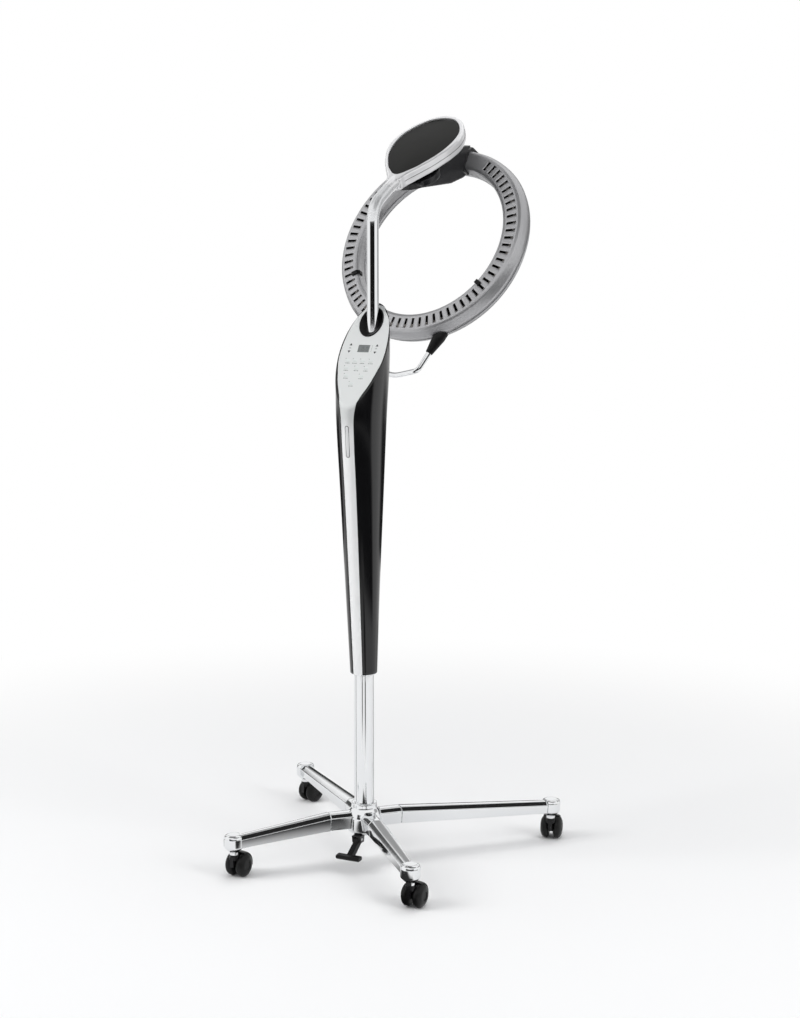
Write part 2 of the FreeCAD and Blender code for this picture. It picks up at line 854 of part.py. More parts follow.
def build_pod():
    outside = pod_solid("pod_outside", 0, size.pod_bottom)
    inside = pod_solid("pod_inside", size.pod_wall, size.pod_bottom + size.pod_floor)
    cut_off = cut("pod_cut_off", outside, above_face("pod_top_cut", 0))
    hollow = cut("pod_hollow", inside, above_face("pod_deck_cut", -size.deck_thickness.number))
    back = pod_back(size.inlet_height + size.inlet_length / 2)
    pad_front = back + size.inlet_pad - size.inlet_depth / 2
    wall = fuse("pod_wall_full", cut("pod_wall_plain", cut_off, hollow),
                inlet_block("inlet_pad_block", 5, pad_front, size.inlet_depth / 2))
    wall_again = cut("strip_wall", cut("strip_outside", pod_solid("strip_body", 0, size.pod_bottom),
                                       above_face("strip_top_cut", 0)),
                     pod_solid("strip_core", size.panel_thickness, size.pod_bottom - 1))

    tools = fuse(
        "pod_openings",
        leaf("leaf_recess", -size.panel_fit.number, -size.panel_thickness.number, 5),
        strip_slab("strip_slot", size.panel_fit),
        panel_oval("socket_way", size.panel_fit, -size.deck_thickness * 5, size.deck_thickness),
        display_block("display_way", size.panel_fit.number, -size.deck_thickness.number * 5, size.deck_thickness.number),
        cylinder("sleeve_way", size.sleeve_radius + size.panel_fit, size.pod_waist - size.pod_bottom + size.pod_floor,
                 z=size.pod_bottom - size.pod_floor),
        inlet_block("inlet_way", size.panel_fit.number, back - size.inlet_depth, size.inlet_depth * 2),
    )
    node("pod_shell", cut("pod_opened", wall, tools))

    stripe = common("stripe", wall_again, strip_slab("strip_shape", 0))
    insert_way = insert_block("insert_way", size.panel_fit.number)
    plate = cut("leaf_opened", leaf("leaf_plate", 0, -size.panel_thickness.number, 0),
                fuse("leaf_openings",
                     panel_oval("leaf_socket_way", size.panel_fit, -10, 5),
                     display_block("leaf_display_way", size.panel_fit.number, -10, 5)))
    inside_pod = common("leaf_inside", plate, pod_solid("leaf_trim", 0, size.pod_bottom))
    node("face_panel", cut("face_whole", fuse("face_parts", stripe, inside_pod), insert_way))
    node("strip_insert", common("insert_body", pod_wall("insert_wall", size.panel_thickness),
                                insert_block("insert_shape", 0)))


def pod_wall(name, thickness):
    """The outermost layer of the pod below the control face."""
    return cut(name, pod_solid(name + "_outer", 0, size.pod_bottom),
               pod_solid(name + "_inner", thickness, size.pod_bottom - 1))


def insert_block(name, grow):
    """The long round-ended insert in the front stripe."""
    half = float(size.insert_width) / 2 + grow
    low = float(size.insert_bottom) + float(size.insert_width) / 2
    high = low + float(size.insert_length) - float(size.insert_width)
    outline = Part.Wire([
        Part.makeLine(Vector(half, 0, low), Vector(half, 0, high)),
        Part.Arc(Vector(half, 0, high), Vector(0, 0, high + half), Vector(-half, 0, high)).toShape(),
        Part.makeLine(Vector(-half, 0, high), Vector(-half, 0, low)),
        Part.Arc(Vector(-half, 0, low), Vector(0, 0, low - half), Vector(half, 0, low)).toShape(),
    ])
    slab = doc.addObject("Part::Feature", name)
    slab.Shape = Part.Face(outline).extrude(point(y=-size.pod_crown_half_depth * 2))
    return slab


def build_panel_parts():
    thin = size.panel_thickness.number
    node("display_window", display_block("display_glass", 0, -thin - 5, -0.4))
    plate = block("board_plate", size.board_width, size.board_length, size.board_thickness,
                  y=size.board_rise, z=-size.board_depth)
    posts = []
    for across in (-1, 1):
        for along in (-1, 1):
            post = cylinder(
                f"board_post_{len(posts)}", 3, size.board_depth - size.deck_thickness,
                x=(size.board_width / 2 - 14) * across,
                y=size.board_rise + (size.board_length / 2 - 6) * along,
                z=-size.board_depth)
            posts.append(post)
    node("control_board", fuse("board_whole", plate, *posts), PANEL)

    collar = panel_oval("socket_body", 0, -size.socket_depth, size.socket_lip)
    dish = loft("socket_dish",
                oval("socket_dish_top", size.socket_half_width - 3, size.socket_half_length - 3,
                     y=size.socket_rise, z=size.socket_lip + 0.1),
                oval("socket_dish_bottom", size.arm_radius + 3, size.socket_half_length - 13,
                     y=size.socket_rise + 6, z=-size.socket_depth + 4))
    dish.Placement = PANEL
    bore = arm_rod("socket_bore", size.arm_radius + size.running_clearance,
                   size.clamp_bottom, size.pod_crown + 60)
    node("arm_socket", cut("socket_bored", cut("socket_dished", collar, dish), bore))

    back = pod_back(size.inlet_height + size.inlet_length / 2) + size.inlet_pad
    core = inlet_block("inlet_core", 0, back - size.inlet_depth, size.inlet_depth + 1)
    flange = inlet_block("inlet_flange_plate", 3, back + 0.1, size.inlet_flange)
    well = block("inlet_well", size.inlet_width - 6, size.inlet_depth, size.inlet_length - 12,
                 y=back - 14 + size.inlet_depth / 2, z=size.inlet_height + 6)
    node("power_inlet", cut("inlet_welled", fuse("inlet_parts", core, flange), well))


def build_mast():
    """Sleeve that carries the pod on the column, its two bushes and the arm's clamp."""
    node("mast_sleeve", turned("sleeve", [
        (size.sleeve_bore, size.pod_bottom),
        (size.sleeve_radius, size.pod_bottom),
        (size.sleeve_radius, size.sleeve_top),
        (size.sleeve_bore, size.sleeve_top),
    ]))
    for name, bottom in (("lower_bush", size.pod_bottom), ("upper_bush", size.upper_bush_bottom)):
        node(name, turned(name, [
            (size.column_radius + size.running_clearance, bottom),
            (size.sleeve_bore - size.running_clearance, bottom),
            (size.sleeve_bore - size.running_clearance, bottom + size.bush_length),
            (size.column_radius + size.running_clearance, bottom + size.bush_length),
        ]))
    node("bottom_collar", turned("collar", [
        (size.column_radius + size.side_clearance, size.pod_bottom - size.collar_height),
        (size.sleeve_radius - 1.5, size.pod_bottom - size.collar_height),
        (size.sleeve_radius, size.pod_bottom - size.collar_height + 1.5),
        (size.sleeve_radius, size.pod_bottom),
        (size.column_radius + size.side_clearance, size.pod_bottom),
    ]))

    plate = cylinder("clamp_plate_disc", size.sleeve_radius, size.clamp_plate, z=size.sleeve_top)
    boss = arm_rod("clamp_boss", size.arm_radius + size.clamp_wall, size.clamp_bottom - 6, size.clamp_top)
    web = padded_outline("clamp_web", "YZ_Plane", [
        (-size.sleeve_radius / 2, size.sleeve_top),
        (size.sleeve_radius, size.sleeve_top),
        (size.arm_reach, size.clamp_bottom - 6),
        (size.arm_reach, size.clamp_top - 20),
        (size.arm_reach - size.arm_radius - size.clamp_wall, size.clamp_top - 30),
        (-size.sleeve_radius / 2, size.sleeve_top + size.clamp_plate),
    ], size.arm_radius)
    bore = arm_rod("clamp_bore", size.arm_radius + size.running_clearance, size.clamp_bottom, size.pod_crown)
    casting = common("clamp_trimmed", fuse("clamp_parts", plate, boss, web),
                     pod_solid("clamp_room", size.pod_wall + size.side_clearance, size.pod_bottom))
    node("arm_clamp", cut("clamp_bored", casting, bore))


build_pod()
build_panel_parts()
build_mast()


# ---------------------------------------------------------------------------
# Arm and head
# ---------------------------------------------------------------------------

HEAD = Placement(point(0, size.head_reach, size.head_height), Rotation(X_AXIS, float(size.head_tilt)))
RIM_MIDDLE = (size.rim_rise - size.rim_drop) / 2


def on_head_line(reach):
    """Where the middle of the rim's thickness, run on as a straight line, meets a given reach."""
    tilt = math.radians(float(size.head_tilt))
    middle = float(RIM_MIDDLE)
    along = (float(reach) - float(size.head_reach) + middle * math.sin(tilt)) / math.cos(tilt)
    height = float(size.head_height) + along * math.sin(tilt) + middle * math.cos(tilt)
    return along, height


def build_arm():
    """Bent chrome tube: up from the clamp, then over into the plane of the head."""
    tilt = math.radians(float(size.head_tilt))
    turn = math.pi / 2 - tilt
    bend = float(size.arm_bend)
    tangent = bend * math.tan(turn / 2)
    corner_along, corner_height = on_head_line(size.arm_reach)
    bend_start = corner_height - tangent
    run_start = corner_along + tangent
    length = -float(size.neck_root) - run_start

    def tube(name, radius):
        upright = doc.addObject("Part::Cylinder", name + "_upright")
        bind(upright, Radius=radius)
        upright.Height = bend_start - float(size.clamp_bottom)
        place(upright, y=size.arm_reach, z=size.clamp_bottom)
        elbow = doc.addObject("Part::Torus", name + "_elbow")
        bind(elbow, Radius1=size.arm_bend, Radius2=radius)
        elbow.Angle3 = math.degrees(turn)
        # The elbow's centre is level with the start of the bend, on the client's side.
        centre = point(0, float(size.arm_reach) + bend, bend_start)
        elbow.Placement = Placement(centre, Rotation(Vector(0, -1, 0), Vector(0, 0, 1), Vector(-1, 0, 0)))
        run = doc.addObject("Part::Cylinder", name + "_run")
        bind(run, Radius=radius)
        run.Height = length
        run.Placement = HEAD.multiply(Placement(point(0, run_start, RIM_MIDDLE), Rotation(X_AXIS, -90)))
        return fuse(name, upright, elbow, run)

    node("arm_tube", cut("arm_hollow", tube("arm_outside", size.arm_radius),
                         tube("arm_inside", size.arm_radius - size.arm_wall)))


# Half-widths of the cover and of the racket-shaped rim, at distances along the head from its middle
FACE = (
    (-154, 0),
    (-149, 10.5),
    (-136, 21),
    (-119, 33),
    (-95, 44.5),
    (-69, 55.5),
    (-40, 64),
    (-8, 69),
    (20, 69.8),
    (47, 66.5),
    (76, 55.5),
    (97, 43),
    (114.5, 26.5),
    (122, 0),
)
RACKET = (
    (-178, 13.3),
    (-157, 20.5),
    (-132, 34),
    (-112, 44.5),
    (-92, 54.5),
    (-60, 66.5),
    (-38, 74),
    (-5, 80.5),
    (17, 81),
    (46, 77),
    (76, 66.5),
    (96, 56.5),
    (117, 40),
    (131, 21),
    (136.5, 0),
)


def egg(name, table, grow, bottom, top):
    """A slab with the outline of a table, grown in proportion, between two heights."""
    wide = max(half for along, half in table)
    middle = (table[0][0] + table[-1][0]) / 2
    ratio = 1 + float(grow) / wide
    curve_points = [Vector(half * ratio, middle + (along - middle) * ratio, 0) for along, half in table]
    right = [spot for spot in curve_points if spot.x]
    ends = [spot for spot in curve_points if not spot.x]
    left = [Vector(-spot.x, spot.y, 0) for spot in reversed(right)]
    edge = Part.BSplineCurve()
    if len(ends) == 2:
        edge.interpolate([ends[0]] + right + [ends[1]] + left, PeriodicFlag=True)
        outline = Part.Wire([edge.toShape()])
    else:
        edge.interpolate(right + ends + left)
        outline = Part.Wire([edge.toShape(), Part.makeLine(left[-1], right[0])])
    outline.translate(point(z=bottom))
    slab = doc.addObject("Part::Feature", name)
    slab.Shape = Part.Face(outline).extrude(point(z=float(top) - float(bottom)))
    return slab


def build_head():
    """Racket-shaped rim with the black cover in it and the motor's pan under it."""
    half_length = size.pan_half_length
    half_width = size.pan_half_width
    top = size.rim_rise
    bottom = -size.rim_drop
    ledge = -size.cover_thickness

    band = egg("rim_band", RACKET, 0, bottom, top)
    doc.recompute()
    round_band = doc.addObject("Part::Fillet", "rim_round")
    round_band.Base = band
    rounding = float(size.rim_round)
    rings = [index for index, edge in enumerate(band.Shape.Edges, start=1)
             if edge.BoundBox.ZLength < 0.001]
    round_band.Edges = [(index, rounding, rounding) for index in rings]

    def neck_section(name, along, half_across, half_up):
        """An oval across the arm's line, drawn lying and stood up to face along the neck."""
        section = free(oval(name, half_across, half_up))
        turned_up = Rotation(X_AXIS, 90).multiply(section.Placement.Rotation)
        section.Placement = Placement(point(0, along, RIM_MIDDLE), turned_up)
        return section

    span = size.neck_root - size.neck_end
    neck = loft(
        "rim_neck",
        neck_section("neck_root_section", -size.neck_root, size.arm_radius, size.arm_radius),
        neck_section("neck_mid_section", -size.neck_root + span * 0.5, size.arm_radius + 0.4,
                     size.neck_half_height + 1.6),
        neck_section("neck_end_section", -size.neck_end, size.neck_half_width, size.neck_half_height),
    )
    face_way = egg("face_way", FACE, size.panel_fit, ledge, top + 20)
    pan_way = egg("pan_way", FACE, -size.ledge_width, bottom - 20, ledge + 1)
    rim = cut("rim_opened", cut("rim_recessed", fuse("rim_whole", round_band, neck), face_way), pan_way)
    node("rim_frame", rim, HEAD)

    node("top_cover", egg("cover", FACE, 0, ledge, size.face_rise), HEAD)

    pan_bottom = bottom - size.pan_depth
    pan = loft(
        "pan_outside",
        oval("pan_outside_top", half_width - 2, half_length - 2, z=bottom),
        oval("pan_outside_bottom", half_width - size.pan_inset, half_length - size.pan_inset, z=pan_bottom),
    )
    well = loft(
        "pan_inside",
        oval("pan_inside_top", half_width - 2 - size.pan_wall, half_length - 2 - size.pan_wall, z=bottom + 0.1),
        oval("pan_inside_bottom", half_width - size.pan_inset - size.pan_wall,
             half_length - size.pan_inset - size.pan_wall, z=pan_bottom + size.pan_wall),
    )
    shaft_way = cylinder("pan_shaft_way", size.shaft_radius + size.running_clearance, 40,
                         y=-size.hub_offset, z=pan_bottom - 20)
    node("motor_housing", cut("pan_bored", cut("pan_hollow", pan, well), shaft_way), HEAD)

    motor_bottom = pan_bottom + size.pan_wall
    motor = cylinder("motor_can", size.motor_radius, size.motor_height, y=-size.hub_offset, z=motor_bottom)
    motor_bore = cylinder("motor_bore", size.shaft_radius + size.running_clearance, size.shaft_grip,
                          y=-size.hub_offset, z=motor_bottom)
    node("drive_motor", cut("motor_bored", motor, motor_bore), HEAD)


build_arm()
build_head()


# ---------------------------------------------------------------------------
# Rotor and ring
# ---------------------------------------------------------------------------

RING = Placement(point(0, size.ring_reach, size.ring_height),
                 Rotation(Z_AXIS, -float(size.ring_phase)).multiply(Rotation(X_AXIS, float(size.ring_tilt))))


def ring_top_in_head():
    """The ring's highest slot centre, in the head's frame with its origin on the rotor's axis."""
    middle = (float(size.slot_inner) + float(size.slot_outer)) / 2
    top = RING.multVec(Vector(0, middle, 0))
    return HEAD.inverse().multVec(top) + point(0, size.hub_offset, 0)


def build_rotor():
    """Turntable under the pan and the deepening arm that reaches down to the ring."""
    bottom = -size.rim_drop - size.pan_depth
    top = bottom - size.turn_gap
    ring_top = ring_top_in_head()
    reach = math.hypot(ring_top.x, ring_top.y)
    phase = math.degrees(math.atan2(ring_top.x, ring_top.y))
    frame = HEAD.multiply(shift(0, -float(size.hub_offset))).multiply(spin(-phase))

    # The arm ends on the front of the ring's bracket, so two of its corners are worked out there.
    def bracket_front(radial, ahead):
        spot = frame.inverse().multVec(RING.multVec(Vector(0, radial, ahead)))
        return spot.y, spot.z

    ahead = float(size.bracket_wall)
    outer_corner = bracket_front(float(size.ring_outer), ahead)
    inner_corner = bracket_front(float(size.ring_inner) - ahead, ahead)
    toe_corner = bracket_front(float(size.ring_inner) - ahead, ahead - float(size.bracket_lap))
    depth = -toe_corner[1]
    edge = size.rotor_edge
    outline = [
        (-size.rotor_radius + 6, top),
        (reach * 0.72, top),
        outer_corner,
        inner_corner,
        toe_corner,
        (reach * 0.78, -depth),
        (reach * 0.45, top - (depth + float(top)) * 0.82),
        (reach * 0.12, top - (depth + float(top)) * 0.52),
        (-size.rotor_radius * 0.8, top - edge),
        (-size.rotor_radius, top - 3),
    ]
    wedge = padded_outline("rotor_wedge", "YZ_Plane", outline, size.rotor_half_width * 2)
    table = cylinder("rotor_table", size.table_radius, edge, z=top - edge)
    bore = cylinder("rotor_bore", size.shaft_radius, 200, z=-200)
    body = cut("rotor_bored", fuse("rotor_whole", wedge, table), bore)
    body.Placement = frame
    room = cut("ring_room", turned_blank("ring_room_blank", size.ring_wall / 5),
               cylinder("ring_room_core", size.ring_inner - size.bracket_wall * 1.5, 400, z=-200))
    room.Placement = RING
    node("rotor_arm", cut("rotor_trimmed", body, room))

    shaft_top = bottom + size.pan_wall + size.shaft_grip
    shaft = cylinder("shaft_rod", size.shaft_radius, shaft_top - top + edge, z=top - edge)
    node("drive_shaft", shaft, frame)


def turned_blank(name, gap):
    """The room the ring and its bracket take, solid to the axis and a gap larger."""
    outer = size.ring_outer + size.bracket_wall + gap
    front = size.bracket_wall + gap
    return turned(name, [
        (0, -size.ring_depth),
        (outer, -size.ring_depth),
        (outer, -size.ring_split),
        (outer - 1, -8 + gap),
        (size.slot_outer + 6 + gap, front),
        (size.ring_inner - size.bracket_wall, front),
        (0, front),
    ])


def ring_front_profile():
    """The front half's outside, from its inner edge over the slotted face to its outer edge."""
    inner = size.ring_inner
    outer = size.ring_outer
    return [
        (inner, -size.ring_split),
        (inner, -6),
        (inner + 2, -2),
        (inner + 7, 0),
        (size.slot_outer + 4, 0),
        (size.slot_outer + 9, -3),
        (outer - 4, -13),
        (outer - 1, -21),
        (outer, -size.ring_split),
    ]


def ring_back_profile():
    inner = size.ring_inner
    outer = size.ring_outer
    deep = -size.ring_depth
    return [
        (outer, -size.ring_split),
        (outer - 2, -size.ring_split - 9),
        (outer - 8, -size.ring_split - 19),
        (outer - 19, deep),
        (inner + 15, deep),
        (inner + 5, -size.ring_split - 20),
        (inner, -size.ring_split - 10),
        (inner, -size.ring_split),
    ]


def inward(profile, wall):
    """The same open profile moved in by the wall. The inside lies to its right."""
    moved = []
    for index, (radius, height) in enumerate(profile):
        here = Vector(float(radius), float(height), 0)
        sides = []
        for other, forward in ((index - 1, False), (index + 1, True)):
            if 0 <= other < len(profile):
                there = Vector(float(profile[other][0]), float(profile[other][1]), 0)
                run = (there - here if forward else here - there).normalize()
                sides.append(Vector(run.y, -run.x, 0))
        if len(sides) == 1:
            step = Vector(float(wall) / sides[0].x, 0, 0)
        else:
            middle = (sides[0] + sides[1]).normalize()
            step = middle * (float(wall) / middle.dot(sides[0]))
        moved.append((radius + step.x, height + step.y))
    return moved


def build_ring_shells():
    """The ring is a front shell with radial slots and a round back shell."""
    front = ring_front_profile()
    front_body = turned("ring_front", front + inward(front, size.ring_wall)[::-1])
    doc.recompute()
    slot = sketch(front_body, "XY_Plane", [
        (size.slot_inner, -size.slot_width / 2),
        (size.slot_outer, -size.slot_width / 2),
        (size.slot_outer, size.slot_width / 2),
        (size.slot_inner, size.slot_width / 2),
    ], "slot_outline", 1)
    # The first slot is drawn on the X axis and turned to its place beside the bracket.
    start = 270 - float(size.slot_step * (size.slot_count - 1) / 2 + size.slot_phase)
    slot.AttachmentOffset = Placement(point(z=1), Rotation(Z_AXIS, start))
    pocket = front_body.newObject("PartDesign::Pocket", "slot_pocket")
    pocket.Profile = slot
    bind(pocket, Length=size.ring_wall + 2)
    doc.recompute()
    pattern = front_body.newObject("PartDesign::PolarPattern", "slot_pattern")
    pattern.Originals = [pocket]
    pattern.Axis = (origin_axis(front_body, "Z_Axis"), [""])
    bind(pattern, Angle=size.slot_step * (size.slot_count - 1), Occurrences=size.slot_count)
    front_body.Tip = pattern
    node("ring_front_shell", front_body, RING)

    back = ring_back_profile()
    node("ring_back_shell", turned("ring_back", back + inward(back, size.ring_wall)[::-1]), RING)


def origin_axis(body, role):
    return next(axis for axis in body.Origin.OriginFeatures if axis.Role == role)


def build_heater():
    """Reflector trough, quartz heater and its posts, all behind the slots."""
    thin = size.reflector_wall
    low = -size.reflector_depth
    lip = -size.ring_wall - 0.1
    inner = size.slot_inner - 2
    outer = size.slot_outer + 2
    node("reflector", turned("reflector_trough", [
        (inner, lip),
        (inner + 5, low),
        (outer - 5, low),
        (outer, lip),
        (outer - thin, lip),
        (outer - 5 - thin, low + thin),
        (inner + 5 + thin, low + thin),
        (inner + thin, lip),
    ]), RING)

    middle = (size.slot_inner + size.slot_outer) / 2
    heater = doc.addObject("Part::Torus", "heater_ring")
    bind(heater, Radius1=middle, Radius2=size.heater_radius, Angle3=360 - size.heater_gap)
    heater.Placement = Placement(point(z=-size.heater_depth), Rotation(Z_AXIS, 90 + float(size.heater_gap) / 2))
    node("heater_tube", heater, RING)

    post_height = size.reflector_depth - thin - size.heater_depth - size.heater_radius
    posts = []
    for index, turn in enumerate(range(30, 360, 60)):
        post = free(cylinder(f"heater_post_{index}", 3, post_height))
        post.Placement = spin(turn + 90).multiply(shift(middle, 0, low + thin))
        posts.append(post)
    node("heater_posts", fuse("heater_post_set", *posts), RING)


def jacket(name, gap, sweep):
    """A heavier ring round the top of the ring's section, hollowed to its outline."""
    wall = size.bracket_wall + gap
    lap = -size.bracket_lap - gap
    back = -size.ring_split - 12 - gap
    outline = [
        (size.ring_inner - wall, lap),
        (size.ring_inner - wall, wall - 3),
        (size.ring_inner - wall + 3, wall),
        (size.slot_outer + 6, wall),
        (size.ring_outer + wall - 1, -8),
        (size.ring_outer + wall, -size.ring_split),
        (size.ring_outer + wall, back),
        (size.ring_outer - 2, back),
        (size.ring_outer, -size.ring_split),
    ]
    return turned(name, outline + ring_front_profile()[::-1][1:-1] + [(size.ring_inner, lap)], sweep)


def build_bracket():
    """Saddle on the ring's top, as wide as the rotor's arm."""
    ring = jacket("bracket_jacket", 0, size.bracket_sweep)
    ring.Placement = spin(90 - float(size.bracket_sweep / 2))
    sides = block("bracket_sides", size.rotor_half_width * 2, size.ring_outer, 200,
                  y=size.ring_outer, z=-100)
    node("ring_bracket", common("bracket_trimmed", ring, sides), RING)


def build_clips():
    """Black clips over the ring's inner lip, a third of a turn either side of the bracket."""
    thick = size.clip_thickness
    clips = []
    for name, turn in (("right", -120 - float(size.clip_phase)), ("left", 120 - float(size.clip_phase))):
        clip = turned("clip_" + name, [
            (size.ring_inner - thick, -14),
            (size.ring_inner - thick, -2),
            (size.ring_inner + 3, thick),
            (size.slot_inner + 4, thick),
            (size.slot_inner + 4, 0),
            (size.ring_inner + 7, 0),
            (size.ring_inner + 2, -2),
            (size.ring_inner, -6),
            (size.ring_inner, -14),
        ], 3)
        clip.Placement = spin(90 + turn - 1.5)
        clips.append(clip)
    node("lip_clips", fuse("lip_clip_pair", *clips), RING)


# The handle's right half in the ring's plane: across the ring's middle line, and out from its centre
HANDLE = (
    (86, 218.5),
    (57.5, 300),
    (40, 306.3),
    (16, 312.7),
)


def build_handle():
    """Bow-shaped chrome handle on two flared feet at the ring's low side."""
    right = [Vector(across, -out, 0) for across, out in HANDLE]
    left = [Vector(-spot.x, spot.y, 0) for spot in right]
    away = (right[1] - right[0]).normalize()
    begin = right[0] + away * (float(size.foot_length) - float(size.foot_grip))
    bend = float(size.handle_bend)
    along = (right[2] - right[1]).normalize()
    turn_in = right[1] - away * bend
    turn_out = right[1] + along * bend
    # The bend is a true fillet, so that the tube leaves it straight along both lines.
    half = (math.pi - away.getAngle(along)) / 2
    inward_line = (along - away).normalize()
    corner = right[1] + inward_line * (bend * (1 - math.sin(half)) / math.cos(half))
    tip = Vector(0, -float(size.handle_reach), 0)

    def mirrored(spot):
        return Vector(-spot.x, spot.y, 0)

    bow = Part.BSplineCurve()
    bow.interpolate(Points=[turn_out, right[3], tip, left[3], mirrored(turn_out)],
                    InitialTangent=along, FinalTangent=Vector(along.x, -along.y, 0))
    spine = Part.Wire([
        Part.makeLine(begin, turn_in),
        Part.Arc(turn_in, corner, turn_out).toShape(),
        bow.toShape(),
        Part.Arc(mirrored(turn_out), mirrored(corner), mirrored(turn_in)).toShape(),
        Part.makeLine(mirrored(turn_in), mirrored(begin)),
    ])
    section = Part.Wire(Part.makeCircle(float(size.handle_radius), begin, away))
    bar = doc.addObject("Part::Feature", "handle_sweep")
    bar.Shape = spine.makePipeShell([section], True, False)
    frame = RING.multiply(spin(-float(size.handle_phase))).multiply(shift(z=-float(size.ring_split)))
    node("handle_bar", bar, frame)

    seat = turned("foot_seat", [
        (0, -size.ring_depth),
        (size.ring_outer + 0.1, -size.ring_depth),
        (size.ring_outer + 0.1, size.ring_depth),
        (0, size.ring_depth),
    ])
    feet = []
    for name, start, direction in (("right", right[0], away), ("left", left[0], mirrored(away))):
        foot = turned("foot_" + name, [
            (0, -14),
            (size.foot_radius, -14),
            (size.foot_radius, 3),
            (size.foot_tip_radius, size.foot_length),
            (size.handle_radius + size.side_clearance, size.foot_length),
            (size.handle_radius + size.side_clearance, size.foot_length - size.foot_grip),
            (0, size.foot_length - size.foot_grip),
        ])
        foot.Placement = Placement(start, Rotation(Z_AXIS, direction))
        feet.append(foot)
    node("handle_feet", cut("feet_trimmed", fuse("foot_pair", *feet), seat), frame)


build_rotor()
build_ring_shells()
build_heater()
build_bracket()
build_clips()
build_handle()

# ---------------------------------------------------------------------------
# Checks and export
# ---------------------------------------------------------------------------

doc.recompute()
faults = [item.Label for item in doc.Objects if "Invalid" in item.State or "Error" in item.State]
faults += [name for name, item in NODES.items() if item.Shape.isNull() or not item.Shape.isValid()]
if faults:
    raise RuntimeError("failed features: " + ", ".join(faults))

os.makedirs("parts", exist_ok=True)
for name, item in NODES.items():
    item.Shape.exportStep(f"parts/{name}.step")
    solids = len(item.Shape.Solids)
    print(f"{name}: {solids} solid{'s' if solids > 1 else ''}, {item.Shape.Volume / 1000:.1f} cm3")
print(len(NODES), "nodes")
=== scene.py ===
# %% [markdown]
# # A salon colour processor, dressed for its portrait
# A ring of radiant heat hangs from a racket-shaped head and turns round a client's hair.
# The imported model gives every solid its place. This script keeps those places, makes the
# pieces that the eye lands on again with smooth surfaces, and gives each one its finish.

import json
import math

import bmesh
import bpy
from mathutils import Matrix, Vector

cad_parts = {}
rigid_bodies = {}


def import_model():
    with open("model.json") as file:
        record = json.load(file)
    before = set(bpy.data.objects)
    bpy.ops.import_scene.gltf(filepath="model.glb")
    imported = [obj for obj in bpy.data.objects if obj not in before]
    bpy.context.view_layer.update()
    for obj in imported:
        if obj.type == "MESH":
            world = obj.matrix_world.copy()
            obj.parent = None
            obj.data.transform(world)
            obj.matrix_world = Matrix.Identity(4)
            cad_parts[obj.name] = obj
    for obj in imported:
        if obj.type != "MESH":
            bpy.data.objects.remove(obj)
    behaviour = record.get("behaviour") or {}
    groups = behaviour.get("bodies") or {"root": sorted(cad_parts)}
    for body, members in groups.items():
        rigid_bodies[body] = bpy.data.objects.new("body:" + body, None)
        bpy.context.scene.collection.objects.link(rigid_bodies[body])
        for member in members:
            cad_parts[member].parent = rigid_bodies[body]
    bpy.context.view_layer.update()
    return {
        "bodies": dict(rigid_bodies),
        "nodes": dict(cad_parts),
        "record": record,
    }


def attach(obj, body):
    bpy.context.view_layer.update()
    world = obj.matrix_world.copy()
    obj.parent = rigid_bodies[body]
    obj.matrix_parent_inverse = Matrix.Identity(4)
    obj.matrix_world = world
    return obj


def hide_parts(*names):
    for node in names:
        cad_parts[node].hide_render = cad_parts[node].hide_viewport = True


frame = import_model()
print("bodies:", len(frame["bodies"]), "nodes:", len(frame["nodes"]))

# %% [markdown]
# Drawings of such a machine are in millimetres and Blender works in metres, so every
# shape below is written in millimetres in the frame of the piece it belongs to. Three
# frames are tilted: the head's plane, the ring's plane and the sloping control face.

# %% Frames of the main parts
MM = 0.001


def tilted(x, y, z, lean, turn=0.0):
    """A frame at a place in millimetres, leant about X and then turned about Z."""
    return slid(x, y, z) @ spun(turn) @ spun(lean, "X")


def slid(x=0.0, y=0.0, z=0.0):
    """A shift, in millimetres."""
    return Matrix.Translation(Vector((x, y, z)) * MM)


def spun(angle, axis="Z"):
    """A turn about an axis, in degrees."""
    return Matrix.Rotation(math.radians(angle), 4, axis)


UPRIGHT = Matrix.Identity(4)
HEAD_TILT = 27.8
RING_TILT = 61.6
FACE_TILT = 55.2
HEAD_Y = 297.0
HEAD_Z = 1532.0
HEAD = tilted(0, HEAD_Y, HEAD_Z, HEAD_TILT)
RING = tilted(0, 321.5, 1326, RING_TILT, -8.5)
PANEL = tilted(0, 1.9, 1101.7, FACE_TILT)
print("head, ring and face lean", HEAD_TILT, RING_TILT, FACE_TILT)

# %% [markdown]
# Shader graphs read like arithmetic when a socket knows what + and * mean. One small
# class wraps an output socket and adds a Math node for each operator, also where a plain
# number stands first, as in 1 - mask. A second class owns a material, and its one method
# makes any other node from its type, the settings that have to come first, and the values
# or links of its sockets.

# %% Arithmetic on shader sockets
class Signal:
    """The output socket of a node, with Python's operators on it."""

    def __init__(self, finish, socket):
        self.finish = finish
        self.socket = socket

    def _math(self, operation, *values):
        return self.finish.node("Math", {"operation": operation}, dict(enumerate(values)))[0]

    def __add__(self, other):
        return self._math("ADD", self, other)

    def __sub__(self, other):
        return self._math("SUBTRACT", self, other)

    def __rsub__(self, other):
        return self._math("SUBTRACT", other, self)

    def __mul__(self, other):
        return self._math("MULTIPLY", self, other)

    def __gt__(self, other):
        return self._math("GREATER_THAN", self, other)

    __radd__ = __add__
    __rmul__ = __mul__


class Outputs:
    """A new node whose outputs are picked by name or by number."""

    def __init__(self, finish, made):
        self.finish = finish
        self.made = made

    def __getitem__(self, key):
        return Signal(self.finish, self.made.outputs[key])


